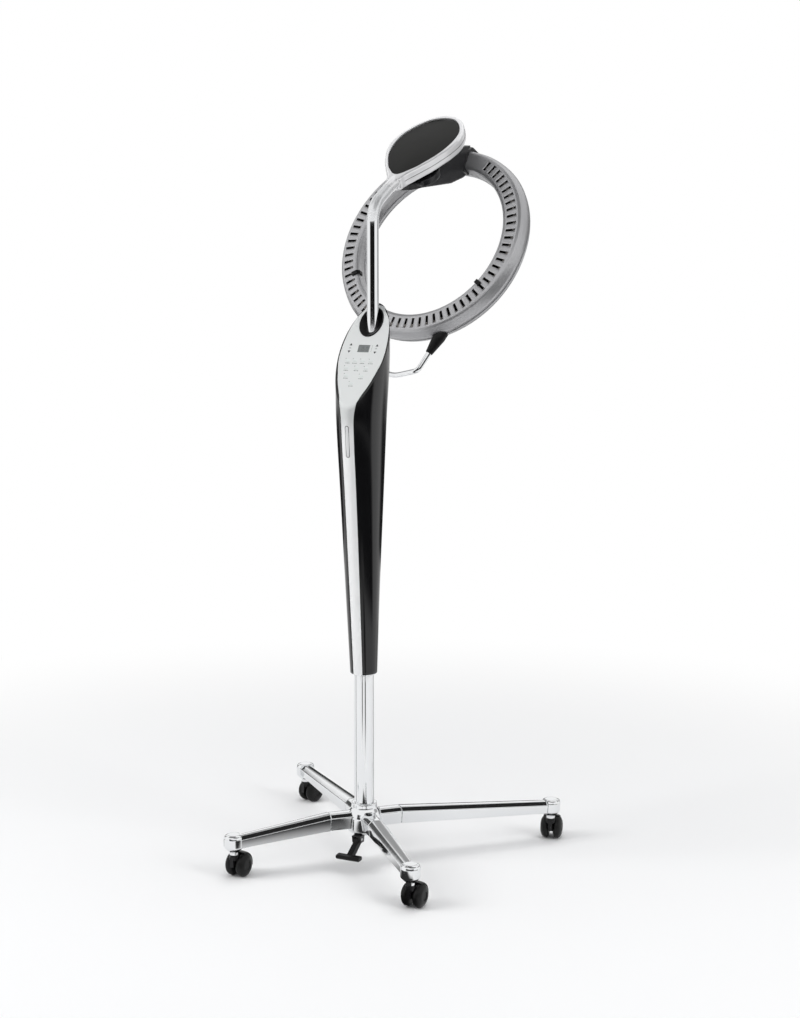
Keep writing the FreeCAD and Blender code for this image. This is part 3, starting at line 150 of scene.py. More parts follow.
# %% A material that grows node by node
class Finish:
    """A surface finish: one Principled shader and whatever varies over the surface."""

    def __init__(self, name, colour, roughness, metallic=0.0, **constants):
        self.material = bpy.data.materials.new(name)
        self.material.use_nodes = True
        self.tree = self.material.node_tree
        self.tree.nodes.clear()
        self.shader = self.node("BsdfPrincipled", {}, {
            "Base Color": (*colour, 1.0), "Roughness": roughness, "Metallic": metallic, **constants})
        self.node("OutputMaterial", {}, {"Surface": self.shader["BSDF"]})
        self.place = self.node("TexCoord", {}, {})["Object"]

    def node(self, kind, settings, values):
        """Any node: its type, the settings that come first, then its sockets' values or links."""
        made = self.tree.nodes.new("ShaderNode" + kind)
        for key, value in settings.items():
            setattr(made, key, value)
        for key, value in values.items():
            if isinstance(value, Signal):
                self.tree.links.new(value.socket, made.inputs[key])
            else:
                made.inputs[key].default_value = value
        return Outputs(self, made)

    def set(self, socket, value):
        """Joins something that varies to a socket of the main shader."""
        self.tree.links.new(value.socket, self.shader.made.inputs[socket])

    def noise(self, scale, detail=3.0):
        """Soft noise between 0 and 1, at so many grains per metre."""
        return self.node("TexNoise", {}, {
            "Vector": self.place, "Scale": scale, "Detail": detail, "Roughness": 0.5})["Fac"]

    def climb(self, low, high):
        """0 below a height in metres, 1 above another, smooth between them."""
        height = self.node("SeparateXYZ", {}, {"Vector": self.place})["Z"]
        return self.node("MapRange", {"interpolation_type": "SMOOTHSTEP"}, {
            "Value": height, "From Min": low, "From Max": high})["Result"]

    def blend(self, share, first, second):
        """A colour between two colours. Sockets 6 and 7 of a Mix node are its colours."""
        ready = [value if isinstance(value, Signal) else (*value, 1.0) for value in (first, second)]
        return self.node("Mix", {"data_type": "RGBA"}, {0: share, 6: ready[0], 7: ready[1]})[2]

    def bump(self, height, depth):
        """Fine relief that is too small to be modelled, so many metres deep."""
        self.set("Normal", self.node("Bump", {}, {"Height": height, "Distance": depth})["Normal"])

    def vary_roughness(self, signal, low, high):
        """Roughness that follows a signal from a low value to a high one."""
        self.set("Roughness", signal * (high - low) + low)

    def vary_colour(self, signal, first, second):
        """A colour that follows a signal from a first colour to a second."""
        self.set("Base Color", self.blend(signal, first, second))


def scaled(colour, share):
    """A colour with each of its three parts multiplied by a share."""
    return [part * share for part in colour]


print("shader arithmetic ready")

# %% [markdown]
# ## Polished metal
# Chrome plate is a mirror with a faint blue-grey cast. A perfect mirror looks like a
# drawing, so a slow noise lets its roughness wander: handling leaves soft patches that
# only show where a reflection runs over them. The legs are cast and polished, so their
# patches are a little larger and a faint waviness stays in the surface. The arm is a
# mirror as far as its bend. From there on it is satin, like the rim it runs into, so a
# smooth step in height takes it from one finish to the other.
# The same step also makes the colour darker above the bend, and that darker colour is painted shade.

# %% Chrome and polished castings
CHROME = (0.84, 0.85, 0.86)
WORN_SHARE = 0.96
SATIN_AND_SHADE_FROM = 1.352
SATIN_AND_SHADE_FADE = 0.035
SATIN_ROUGHER = 0.24
SATIN_METAL_LOSS = 0.45
BEND_SHADE_SHARE = 0.88
BEND_WORN_SHADE_SHARE = 0.82


def polished_metal(name, colour, low, high, patches, wave=0.0, satin_and_shade_above=None):
    """A mirror with soft patches. Above a height in metres, it may turn to satin, with a darker colour there
    that is painted shade.
    """
    finish = Finish(name, colour, low, metallic=1.0)
    smudge = finish.noise(patches, detail=4.0)
    worn = scaled(colour, WORN_SHARE)
    if satin_and_shade_above is None:
        finish.vary_roughness(smudge, low, high)
    else:
        satin = finish.climb(satin_and_shade_above, satin_and_shade_above + SATIN_AND_SHADE_FADE)
        finish.set("Roughness", smudge * (high - low) + satin * SATIN_ROUGHER + low)
        finish.set("Metallic", 1.0 - satin * SATIN_METAL_LOSS)
        # Painted shade: above the bend the colour and its worn patches are made darker.
        colour = finish.blend(satin, colour, scaled(colour, BEND_SHADE_SHARE))
        worn = finish.blend(satin, worn, scaled(worn, BEND_WORN_SHADE_SHARE))
    finish.vary_colour(finish.noise(patches / 3), colour, worn)
    if wave:
        finish.bump(finish.noise(patches * 2, detail=1.0), wave)
    return finish.material


MATERIALS = {
    "polished_base": polished_metal("polished_base", CHROME, 0.05, 0.11, 28.0, wave=0.00006),
    "chrome_tube": polished_metal("chrome_tube", CHROME, 0.03, 0.07, 35.0, satin_and_shade_above=SATIN_AND_SHADE_FROM),
    "steel_shaft": polished_metal("steel_shaft", (0.62, 0.62, 0.63), 0.18, 0.3, 120.0),
}
print("polished finishes:", ", ".join(MATERIALS))

# %% [markdown]
# ## Silver paint and brushed trim
# The ring's shells and the head's rim aren't plated but painted or satin-finished in
# silver. Metallic paint is a coloured layer full of tiny flakes. A very fine noise in
# the colour stands for the flakes, and the metallic value stays below 1 so that the
# surface spreads the light instead of mirroring the room. In the pod's one silver skin
# the stripe up the front is paler than the leaf with the keys, and the change lies just
# below the bend between them. The leaf's darker tone is painted shade.

# %% Silver finishes
FLAKE_GRAIN = 2600.0
FLAKE_DEPTH = 0.000012
CLOUD_GRAIN = 9.0


def silver_paint(name, colour, metallic, roughness, flake=0.05, coat=0.0, upper=None, change=None):
    """Metallic paint. Between the two heights of change it may pass to a darker upper colour, which is
    painted shade.
    """
    finish = Finish(name, colour, roughness, metallic=metallic, **{
        "Coat Weight": coat, "Coat Roughness": 0.12})
    flakes = finish.noise(FLAKE_GRAIN, detail=1.0)
    cloud = finish.noise(CLOUD_GRAIN)
    dark = scaled(colour, 1 - flake * 2)
    bright = [min(1.0, part) for part in scaled(colour, 1 + flake)]
    # Painted shade: above the heights of change the colour turns to the darker upper colour.
    if upper:
        shaded_zone = finish.climb(*change)
        dark = finish.blend(shaded_zone, dark, scaled(upper, 1 - flake * 2))
        bright = finish.blend(shaded_zone, bright, upper)
    finish.vary_colour(flakes * 0.6 + cloud * 0.4, dark, bright)
    finish.vary_roughness(cloud, roughness * 0.9, roughness * 1.15)
    finish.bump(flakes, FLAKE_DEPTH)
    return finish.material


# Each silver has its colour, its metallic value and its roughness, and then what sets it apart.
SILVERS = {
    "ring_silver_paint": ((0.44, 0.44, 0.45), 0.7, 0.34, {"coat": 0.1}),
    "rim_silver": ((0.80, 0.80, 0.81), 0.62, 0.25, {}),
    # Above the pod's bend the leaf is painted darker than the stripe, as painted shade.
    "panel_silver": ((0.90, 0.905, 0.905), 0.27, 0.34, {
        "flake": 0.02, "upper": (0.67, 0.685, 0.68), "change": (0.925, 0.975)}),
    "cast_clamp": ((0.5, 0.5, 0.5), 0.8, 0.5, {"flake": 0.08}),
    "motor_can": ((0.55, 0.55, 0.54), 0.9, 0.32, {}),
    # Painted shade: the reflector is nearly black, for the dark inside of the ring seen through its slots.
    "reflector_foil": ((0.05, 0.048, 0.045), 0.9, 0.4, {}),
}
for finish_name, (colour, metallic, roughness, more) in SILVERS.items():
    MATERIALS[finish_name] = silver_paint(finish_name, colour, metallic, roughness, **more)
print("silver finishes:", ", ".join(SILVERS))

# %% [markdown]
# ## Black plastics
# Three blacks meet here. The pod and the motor's pan are injection moulded and polished:
# deep black with a clear gloss and a hint of orange peel. The head's cover is satin and
# hardly mirrors the room, which a low specular value gives. Feet, clips, pedal and castors
# have a fine moulded grain. One function with six values each makes them all, and the pale
# plastic of the bushes too.

# %% Moulded plastics
CLOUD_PATCHES = 22.0
CLOUD_SHARE = 1.35


def plastic(name, shade, low, high, grain, grain_depth, specular):
    """A plastic with a grain of so many grains per metre and so many metres deep."""
    finish = Finish(name, shade, low, **{"Specular IOR Level": specular})
    cloud = finish.noise(CLOUD_PATCHES)
    finish.vary_roughness(cloud, low, high)
    finish.vary_colour(cloud, shade, scaled(shade, CLOUD_SHARE))
    finish.bump(finish.noise(grain, detail=2.0), grain_depth)
    return finish.material


# Each one's values are shade, lowest and highest roughness, grain, grain depth and specular.
PLASTICS = {
    "pod_gloss_black": ((0.004, 0.004, 0.0045), 0.09, 0.14, 60.0, 0.00001, 0.5),
    "housing_gloss_black": ((0.007, 0.007, 0.008), 0.22, 0.3, 150.0, 0.00001, 0.45),
    "cover_satin_black": ((0.005, 0.005, 0.0045), 0.3, 0.38, 900.0, 0.000012, 0.06),
    "black_moulding": ((0.005, 0.005, 0.005), 0.32, 0.45, 1400.0, 0.00003, 0.18),
    "black_steel": ((0.014, 0.014, 0.015), 0.3, 0.42, 500.0, 0.00002, 0.5),
    "castor_hood": ((0.005, 0.005, 0.0055), 0.24, 0.34, 700.0, 0.00002, 0.28),
    "castor_tread": ((0.005, 0.005, 0.005), 0.3, 0.45, 900.0, 0.00003, 0.25),
    "bush_plastic": ((0.5, 0.49, 0.46), 0.4, 0.5, 500.0, 0.00002, 0.5),
}
for finish_name, values in PLASTICS.items():
    MATERIALS[finish_name] = plastic(finish_name, *values)
print("finishes so far:", len(MATERIALS))

# %% [markdown]
# ## Small finishes
# The display is a grey-green liquid crystal behind a clear lens, the insert in the stripe
# is clear plastic over a pale strip, the heater is a quartz tube on white ceramic posts,
# and the board is green laminate with copper runs that only a service engineer sees.

# %% Lens, board, quartz and ceramic
LENS_ROWS = 420.0
BOARD_RUNS = 160.0


def lens():
    """Clear plastic over a grey-green display with faint rows, a little paler in its right half."""
    finish = Finish("display_lens", (0.16, 0.17, 0.17), 0.12, **{"Coat Weight": 0.6, "Coat Roughness": 0.04})
    across = finish.node("SeparateXYZ", {}, {"Vector": finish.place})["X"]
    rows = finish.node("TexWave", {"bands_direction": "Z"}, {
        "Vector": finish.place, "Scale": LENS_ROWS})["Fac"]
    glow = rows * 0.12 + (across > 0.0) * 0.05
    finish.vary_colour(glow, (0.12, 0.13, 0.13), (0.34, 0.37, 0.35))
    finish.vary_roughness(finish.noise(80.0), 0.08, 0.16)
    return finish.material


def laminate():
    """Green board with copper runs, which a brick pattern's joints stand for."""
    finish = Finish("circuit_board", (0.03, 0.13, 0.06), 0.4)
    runs = finish.node("TexBrick", {}, {
        "Vector": finish.place, "Scale": BOARD_RUNS, "Mortar Size": 0.03})["Fac"]
    finish.vary_colour(runs, (0.03, 0.13, 0.06), (0.32, 0.2, 0.08))
    finish.vary_roughness(finish.noise(300.0), 0.3, 0.5)
    return finish.material


def quartz():
    """Warm grey quartz, cloudy along its length, under a clear gloss."""
    finish = Finish("quartz_tube", (0.55, 0.5, 0.46), 0.1, **{"Coat Weight": 0.8, "Coat Roughness": 0.03})
    band = finish.noise(200.0, detail=2.0)
    finish.vary_colour(band, (0.3, 0.27, 0.25), (0.6, 0.56, 0.52))
    finish.vary_roughness(band, 0.08, 0.2)
    return finish.material


def speckled(name, colour, roughness, grain):
    """An even colour with faint specks, for ceramic, clear plastic and printed film."""
    finish = Finish(name, colour, roughness)
    specks = finish.noise(grain, detail=4.0)
    finish.vary_colour(specks, scaled(colour, 0.9), colour)
    finish.vary_roughness(specks, roughness * 0.9, roughness * 1.2)
    finish.bump(specks, 0.00002)
    return finish.material


MATERIALS["display_lens"] = lens()
MATERIALS["circuit_board"] = laminate()
MATERIALS["quartz_tube"] = quartz()
MATERIALS["ceramic_posts"] = speckled("ceramic_posts", (0.72, 0.7, 0.66), 0.55, 600.0)
MATERIALS["clear_insert"] = speckled("clear_insert", (0.74, 0.75, 0.75), 0.12, 300.0)
print("finishes:", len(MATERIALS))

# %% [markdown]
# ## Meshes and pieces
# A mesh becomes a piece of the machine in a few steps that are always the same. Points
# that coincide are merged, the faces are turned outwards, and all edges but the sharp
# ones are smoothed. Then the piece gets its finish, and is told which body it moves with
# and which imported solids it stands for.

# %% From points to a piece
SLOTS = {entry["slot"] for entry in frame["record"]["materials"]}
DOUBLES = 0.00001
SLIVERS = 0.000005


def placed(name, mesh):
    """A new object with this mesh, in the scene."""
    obj = bpy.data.objects.new(name, mesh)
    bpy.context.scene.collection.objects.link(obj)
    return obj


def mesh_of(name, shell, place=UPRIGHT):
    """A mesh in metres from a shell: points in millimetres of a tilted frame, and faces."""
    mesh = bpy.data.meshes.new(name)
    mesh.from_pydata([place @ (Vector(v) * MM) for v in shell[0]], [], shell[1])
    return mesh


def shell_of(mesh, unit=1.0):
    """Points and faces of a mesh, with its points counted in a unit."""
    return [tuple(v.co / unit) for v in mesh.vertices], [tuple(p.vertices) for p in mesh.polygons]


def outwards(mesh, doubles=0.0, slivers=0.0):
    """Merges points nearer than doubles, drops edges under slivers and turns faces outwards."""
    work = bmesh.new()
    work.from_mesh(mesh)
    if doubles:
        bmesh.ops.remove_doubles(work, verts=work.verts, dist=doubles)
    if slivers:
        bmesh.ops.dissolve_degenerate(work, edges=work.edges, dist=slivers)
    bmesh.ops.recalc_face_normals(work, faces=work.faces)
    work.to_mesh(mesh)
    work.free()
    return mesh


def made_plain(obj):
    """What an object's modifiers make, as a mesh without materials. The object itself goes."""
    ready = obj.evaluated_get(bpy.context.evaluated_depsgraph_get())
    mesh = bpy.data.meshes.new_from_object(ready)
    bpy.data.objects.remove(obj)
    mesh.materials.clear()
    return mesh


def settle(name, mesh, finish, body, nodes, smooth=34.0):
    """A piece from a mesh in metres: its finish, its body and the nodes it stands for."""
    outwards(mesh, DOUBLES, SLIVERS)
    mesh.polygons.foreach_set("use_smooth", [True] * len(mesh.polygons))
    mesh.set_sharp_from_angle(angle=math.radians(smooth))
    obj = placed(name, mesh)
    mesh.materials.append(MATERIALS[finish])
    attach(obj, body)
    if nodes:
        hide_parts(*nodes)
    return obj


def piece(name, shell, finish, body, nodes, place=UPRIGHT, smooth=34.0):
    """A piece from a shell of points in millimetres and faces."""
    return settle(name, mesh_of(name, shell, place), finish, body, nodes, smooth)


print("material slots of the record:", len(SLOTS))

# %% [markdown]
# ## Making a surface
# Nearly every smooth piece here is one of three things: a profile turned about an axis, a
# section carried along a path, or a stack of outlines joined from one to the next. All
# three are rings of points skinned with quads, so one function skins any stack of rings,
# and the others only work out where the rings go.

# %% Skin a stack of rings
def skin(rings, capped=True):
    """Points and faces of rings joined one to the next. A ring of one point closes to a pole."""
    verts = []
    starts = []
    for ring in rings:
        starts.append(len(verts))
        verts.extend(tuple(point) for point in ring)
    faces = []
    for ring, after, start, follow_on in zip(rings, rings[1:], starts, starts[1:]):
        count = max(len(ring), len(after))
        for i in range(count):
            j = (i + 1) % count
            if len(ring) == 1:
                faces.append((start, follow_on + j, follow_on + i))
            elif len(after) == 1:
                faces.append((start + i, start + j, follow_on))
            else:
                faces.append((start + i, start + j, follow_on + j, follow_on + i))
    for ring, start in ((rings[0], starts[0]), (rings[-1], starts[-1])):
        if capped and len(ring) > 2:
            faces.append(tuple(range(start, start + len(ring))))
    return verts, faces


def joined(*shells):
    """Several shells as one list of points and faces."""
    verts = []
    faces = []
    for more_verts, more_faces in shells:
        faces.extend(tuple(i + len(verts) for i in face) for face in more_faces)
        verts.extend(more_verts)
    return verts, faces


# %% Turn, sweep and round
def full_turn(count, ahead=0.0):
    """Angles in radians, evenly round a circle, each one ahead by a share of a step."""
    return [2 * math.pi * (i + ahead) / count for i in range(count)]


def turned(profile, steps=96, closed=False):
    """A profile of (radius, height) turned about Z. A closed profile makes a ring, not a solid."""
    angles = full_turn(steps)
    points = [*profile, profile[0]] if closed else profile
    rings = []
    for radius, height in points:
        if radius == 0:
            rings.append([(0.0, 0.0, height)])
        else:
            rings.append([(radius * math.cos(a), radius * math.sin(a), height) for a in angles])
    return skin(rings, capped=not closed)


def softened(corners, radius, steps=4, closed=True):
    """A polygon with its corners rounded. A radius may be given for each corner."""
    result = []
    count = len(corners)
    for i, corner in enumerate(corners):
        r = radius[i] if isinstance(radius, (list, tuple)) else radius
        here = Vector(corner)
        if r <= 0 or (not closed and i in (0, count - 1)):
            result.append(tuple(here))
            continue
        before = Vector(corners[i - 1]) - here
        after = Vector(corners[(i + 1) % count]) - here
        half = before.angle(after) / 2
        reach = min(r / math.tan(half), before.length * 0.49, after.length * 0.49)
        first = here + before.normalized() * reach
        last = here + after.normalized() * reach
        for k in range(steps + 1):
            t = k / steps
            result.append(tuple(first * (1 - t) ** 2 + here * 2 * t * (1 - t) + last * t ** 2))
    return result


def swept(path, radius, sides, side=(1.0, 0.0, 0.0)):
    """A round bar along a path. Its rings start from the direction given as side."""
    path = [Vector(point) for point in path]
    side = Vector(side)
    rings = []
    for i, here in enumerate(path):
        ahead = (path[min(i + 1, len(path) - 1)] - path[max(i - 1, 0)]).normalized()
        side = (side - ahead * side.dot(ahead)).normalized()
        up = ahead.cross(side)
        rings.append([here + (side * math.cos(a) + up * math.sin(a)) * radius for a in full_turn(sides)])
    return skin(rings)


def arc(centre, radius, start, end, steps):
    """Points on a circle in the YZ plane, from one angle to another, in degrees."""
    y, z = centre
    angles = [math.radians(start + (end - start) * i / steps) for i in range(steps + 1)]
    return [(0.0, y + radius * math.cos(a), z + radius * math.sin(a)) for a in angles]


def bevelled(obj, width, segments=3, angle=30.0):
    """A live bevel on the sharp edges, with the flats' normals kept flat."""
    modifier = obj.modifiers.new("edge round", "BEVEL")
    modifier.width = width * MM
    modifier.segments = segments
    modifier.limit_method = "ANGLE"
    modifier.angle_limit = math.radians(angle)
    modifier.harden_normals = True
    return obj


def follow(table, value, column):
    """Smooth reading of a column of a table at a value of its first column (Catmull-Rom)."""
    xs = [row[0] for row in table]
    i = max(k for k in range(len(xs) - 1) if xs[k] <= value or k == 0)
    ys = [row[column] for row in table]
    span = xs[i + 1] - xs[i]
    t = min(1.0, max(0.0, (value - xs[i]) / span))
    before = (ys[i + 1] - ys[i - 1]) / (xs[i + 1] - xs[i - 1]) if i else (ys[1] - ys[0]) / span
    ends = i + 2 < len(xs)
    after = (ys[i + 2] - ys[i]) / (xs[i + 2] - xs[i]) if ends else (ys[i + 1] - ys[i]) / span
    square, cube = t * t, t * t * t
    return ((2 * cube - 3 * square + 1) * ys[i] + (cube - 2 * square + t) * span * before
            + (3 * square - 2 * cube) * ys[i + 1] + (cube - square) * span * after)


print("makers ready: skin, turned, softened, swept, arc, bevelled, follow")

# %% [markdown]
# ## Plain parts
# Pins, bushes, plates and the gas spring already have the right shape in the packed
# model. They keep it. A copy is merged so that its loose triangles become one skin, its
# round faces are smoothed, and where an edge round is given, a small bevel catches the
# light on its edges.

# %% Dress the plain parts
WELD = 0.00002
FLAT_ANGLE = 0.6


def copied(node, finish, body, round_edge=0.0):
    """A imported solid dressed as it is, with an edge round in millimetres where it is given."""
    mesh = frame["nodes"][node].data.copy()
    mesh.materials.clear()
    for attribute in list(mesh.color_attributes.keys()):
        mesh.color_attributes.remove(mesh.color_attributes[attribute])
    if mesh.has_custom_normals:
        mesh.normals_split_custom_set([(0.0, 0.0, 0.0)] * len(mesh.loops))
    work = bmesh.new()
    work.from_mesh(mesh)
    bmesh.ops.remove_doubles(work, verts=work.verts, dist=WELD)
    bmesh.ops.dissolve_limit(work, angle_limit=math.radians(FLAT_ANGLE), verts=work.verts, edges=work.edges)
    work.to_mesh(mesh)
    work.free()
    obj = settle(node + "_dressed", mesh, finish, body, [node], 30.0)
    if round_edge:
        bevelled(obj, round_edge, 2)
    return obj


PLAIN = {
    "gas_cylinder": ("black_steel", "base", 0.0),
    "pedal_pin": ("steel_shaft", "base", 0.0),
    "gas_rod": ("steel_shaft", "lift", 0.0),
    "control_board": ("circuit_board", "pod", 0.0),
    "mast_sleeve": ("black_steel", "pod", 0.0),
    "lower_bush": ("bush_plastic", "pod", 0.0),
    "upper_bush": ("bush_plastic", "pod", 0.0),
    "arm_clamp": ("cast_clamp", "pod", 0.6),
    "drive_motor": ("motor_can", "pod", 0.0),
    "drive_shaft": ("steel_shaft", "rotor", 0.0),
    "reflector": ("reflector_foil", "rotor", 0.0),
    "heater_tube": ("quartz_tube", "rotor", 0.0),
    "heater_posts": ("ceramic_posts", "rotor", 0.0),
}
for node_name, (finish_name, body_name, edge) in PLAIN.items():
    copied(node_name, finish_name, body_name, edge)
print("plain parts dressed:", len(PLAIN))

# %% [markdown]
# ## The star base
# The legs are bars cast with two bevelled shoulders and a slightly narrower sole.
# Reflections break into hard bands on such a section, so its sides stay flat and only
# their edges get a small round. The back is crowned by less than a millimetre, which
# draws the light on it into a soft line.

# %% Legs
LEG_TURN = 45.3
# Each corner has its leg's turn from the client's side, in degrees, and its castor's reach.
CORNERS = {
    "client_right": (LEG_TURN, 437.0),
    "client_left": (-LEG_TURN, 437.0),
    "operator_right": (180.0 - LEG_TURN, 288.0),
    "operator_left": (LEG_TURN - 180.0, 288.0),
}
STUB_REACH = 80.0
KNUCKLE_FLAT = 13.0
# Width, depth and the height of the back, where the leg starts and where it ends.
ROOT = (37.0, 36.0, 118.0)
TIP = (30.0, 27.0, 92.0)


def leg_frame(corner):
    """X runs out along the leg."""
    return spun(90.0 - CORNERS[corner][0])


def leg_section(reach, width, depth, top, bevel=8.0, crown=0.7):
    """Across the bar: a slightly crowned back, bevelled shoulders and sides that draw in."""
    half = width / 2
    sole = half - bevel / 2
    ridge = half - bevel
    back = [(ridge * (-1 + i / 4), top - crown * (-1 + i / 4) ** 2) for i in range(9)]
    corners = [(-half, top - bevel), *back, (half, top - bevel), (sole, top - depth), (-sole, top - depth)]
    radii = [2.5, 2.0] + [0.0] * 7 + [2.0, 2.5, 2.0, 2.0]
    return [(reach, across, up) for across, up in softened(corners, radii)]


for corner, (_, reach) in CORNERS.items():
    bar_shape = skin([leg_section(STUB_REACH, *ROOT), leg_section(reach - KNUCKLE_FLAT, *TIP)])
    leg = piece("leg_skin_" + corner, bar_shape, "polished_base", "base", ["leg_" + corner],
                leg_frame(corner), 32.0)
    bevelled(leg, 0.8, 3, 50.0)
print("legs:", len(CORNERS))

# %% [markdown]
# ## The hub
# The hub is one casting that flows from the column's collar into the four legs. Modelled
# face by face such blends take hours. Here the plain shapes are laid over each other, a
# Remesh modifier turns them into one even skin, and a few rounds of smoothing melt the
# corners between them, as a polishing wheel does.

# %% Hub
HUB_PROFILE = ((0, 70), (31, 70), (37, 76), (37, 106), (33, 117), (28, 125), (27, 136), (0, 136))
STUB_START = 4.0


def one_skin(raw, voxel, rounds):
    """An object remeshed in even voxels and smoothed so many times, as a plain mesh."""
    remesh = raw.modifiers.new("one skin", "REMESH")
    remesh.mode = "VOXEL"
    remesh.voxel_size = voxel * MM
    polish = raw.modifiers.new("polish", "SMOOTH")
    polish.factor = 0.5
    polish.iterations = rounds
    return made_plain(raw)


def melted(name, shells, voxel, rounds):
    """Overlapping shells made one skin."""
    raw = placed(name + "_raw", outwards(mesh_of(name + "_raw", joined(*shells))))
    return one_skin(raw, voxel, rounds)


def moved(shell, place):
    """A shell of points in millimetres, moved by a frame whose shifts are in metres."""
    verts, faces = shell
    return [tuple((place @ (Vector(v) * MM)) / MM) for v in verts], faces


stub = skin([leg_section(STUB_START, *ROOT), leg_section(STUB_REACH, *ROOT)])
stubs = [moved(stub, leg_frame(corner)) for corner in CORNERS]
hub_mesh = melted("hub", [turned(HUB_PROFILE, 72), *stubs], 1.1, 9)
hub = settle("hub_casting", hub_mesh, "polished_base", "base", ["base_hub"], 60.0)
print("hub faces:", len(hub.data.polygons))

# %% [markdown]
# ## Castings and mouldings from their solids
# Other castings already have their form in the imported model, only with knife edges. The
# same melting turns such a solid into a part that came out of a mould: its walls stay
# where they are and each edge gets a radius of about two voxels. The pedal, the rotor's
# wedge, its bracket, the clips and the handle's feet are made so.

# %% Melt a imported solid
def moulded(node, finish, body, voxel, rounds):
    """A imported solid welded, melted and dressed, with voxels of so many millimetres."""
    raw = placed(node + "_raw", frame["nodes"][node].data.copy())
    raw.modifiers.new("weld", "WELD").merge_threshold = WELD
    made = settle(node + "_moulded", one_skin(raw, voxel, rounds), finish, body, [node], 75.0)
    print(node, "faces", len(made.data.polygons))


print("ready to melt packed solids")


# %% [markdown]
# ## Leg ends
# Each leg is closed by a domed knuckle that carries the castor's stem. It is a turned
# shape with one flat where it meets the leg, so the turned skin is sliced by a plane.

# %% Knuckles
MERGE_MM = 0.0001


def sliced(shell, point, normal):
    """Cuts a closed shell in millimetres by a plane. What the normal points to goes."""
    mesh = bpy.data.meshes.new("slice")
    mesh.from_pydata(shell[0], [], shell[1])
    work = bmesh.new()
    work.from_mesh(mesh)
    bmesh.ops.remove_doubles(work, verts=work.verts, dist=MERGE_MM)
    everything = [*work.verts, *work.edges, *work.faces]
    cut = bmesh.ops.bisect_plane(work, geom=everything, plane_co=point, plane_no=normal, clear_outer=True)
    rim = [item for item in cut["geom_cut"] if isinstance(item, bmesh.types.BMEdge)]
    bmesh.ops.holes_fill(work, edges=rim)
    work.verts.index_update()
    verts = [tuple(v.co) for v in work.verts]
    faces = [tuple(v.index for v in face.verts) for face in work.faces]
    work.free()
    bpy.data.meshes.remove(mesh)
    return verts, faces


KNUCKLE = softened(
    [(0, 51), (9.5, 51), (9.5, 57), (13, 60), (21, 68), (21, 87), (19, 92.4), (13, 95), (0, 95)],
    [0, 0.8, 1.5, 3, 7, 6, 4, 6, 0], 5, closed=False)
for corner, (_, reach) in CORNERS.items():
    knuckle = sliced(turned(KNUCKLE, 72), (-KNUCKLE_FLAT, 0, 0), (-1, 0, 0))
    piece("knuckle_" + corner, knuckle, "polished_base", "base", ["leg_end_" + corner],
          leg_frame(corner) @ slid(reach), 40.0)
print("knuckles:", len(CORNERS))

# %% [markdown]
# ## Castors
# Twin wheels with domed cheeks sit either side of a web, under one hood. The wheel is a
# turned profile whose tread is rounded at both sides, which gives the pair its notch at
# the floor. The hood follows the wheels' domes, a little larger.

# %% The wheel's profile
HEADINGS = {"client_right": 103.0, "client_left": 70.0, "operator_right": 86.0, "operator_left": 86.0}
TRAIL = 17.0
WHEEL = 25.0
WEB = 9.0
WHEEL_GAP = 0.5
# The dome is part of an ellipse: its radius, half its width and how far out its middle lies.
DOME = 25.4
DOME_HALF = 12.8
DOME_MIDDLE = 8.0
DOME_STEPS = (0.4, 1.2, 2.2, 3.4, 4.6, 5.8, 8.0, 10.2, 11.2, 12.4, 13.6, 14.8, 15.9, 16.8, 17.6, 18.2)
WHEEL_BORE = ((3.0, 0.0), (19.2, 0.0))
WHEEL_CHEEK = ((14.2, 18.5), (9.9, 18.5), (9.5, 18.2), (9.3, 17.3), (3.0, 17.3))


def lobe(z):
    """The wheel's radius at a distance out from its inner face: a dome with a short tread."""
    return min(WHEEL, DOME * math.sqrt(1 - ((z - DOME_MIDDLE) / DOME_HALF) ** 2))


wheel_profile = [*WHEEL_BORE, *[(lobe(z), z) for z in DOME_STEPS], *WHEEL_CHEEK]
print("wheel profile points:", len(wheel_profile))

# %% The hood and its web
FENDER_HALF = 18.0
FENDER_RADIUS = 28.65
FENDER_DOME = 49.2
FENDER_WALL = 2.0
FENDER_STEPS = 20
FENDER_START = -14.0
FENDER_STEP = 3.5


def castor_frame(corner):
    """X trails from the stem to the axle, at this castor's own heading."""
    azimuth, reach = CORNERS[corner]
    return leg_frame(corner) @ slid(reach) @ spun(HEADINGS[corner] - (90.0 - azimuth))


def fender_section(angle):
    """Across the hood at one angle: domed outside, hollow inside, its edges rolled in."""
    a = math.radians(angle)
    shares = [-1 + 2 * i / FENDER_STEPS for i in range(FENDER_STEPS + 1)]
    outline = []
    for share in shares:
        y = share * FENDER_HALF
        rolled = 0.9 * abs(share) ** 14
        outline.append((FENDER_RADIUS * math.sqrt(1 - (y / FENDER_DOME) ** 2) - rolled, y))
    for share in reversed(shares):
        y = share * (FENDER_HALF - 0.7)
        outline.append((FENDER_RADIUS * math.sqrt(1 - (y / FENDER_DOME) ** 2) - FENDER_WALL, y))
    return [(TRAIL + r * math.cos(a), y, WHEEL + r * math.sin(a)) for r, y in outline]


def web_sector(radius, start, end, steps):
    """A flat sector or a whole disc round the axle, for the web between the wheels."""
    angles = [math.radians(start + (end - start) * i / steps) for i in range(steps + 1)]
    rim = [(TRAIL + radius * math.cos(a), WHEEL + radius * math.sin(a)) for a in angles]
    if end - start == 360:
        rim.pop()
    else:
        rim.append((TRAIL, WHEEL))
    return skin([[(x, y, z) for x, z in rim] for y in (-WEB / 2, WEB / 2)])


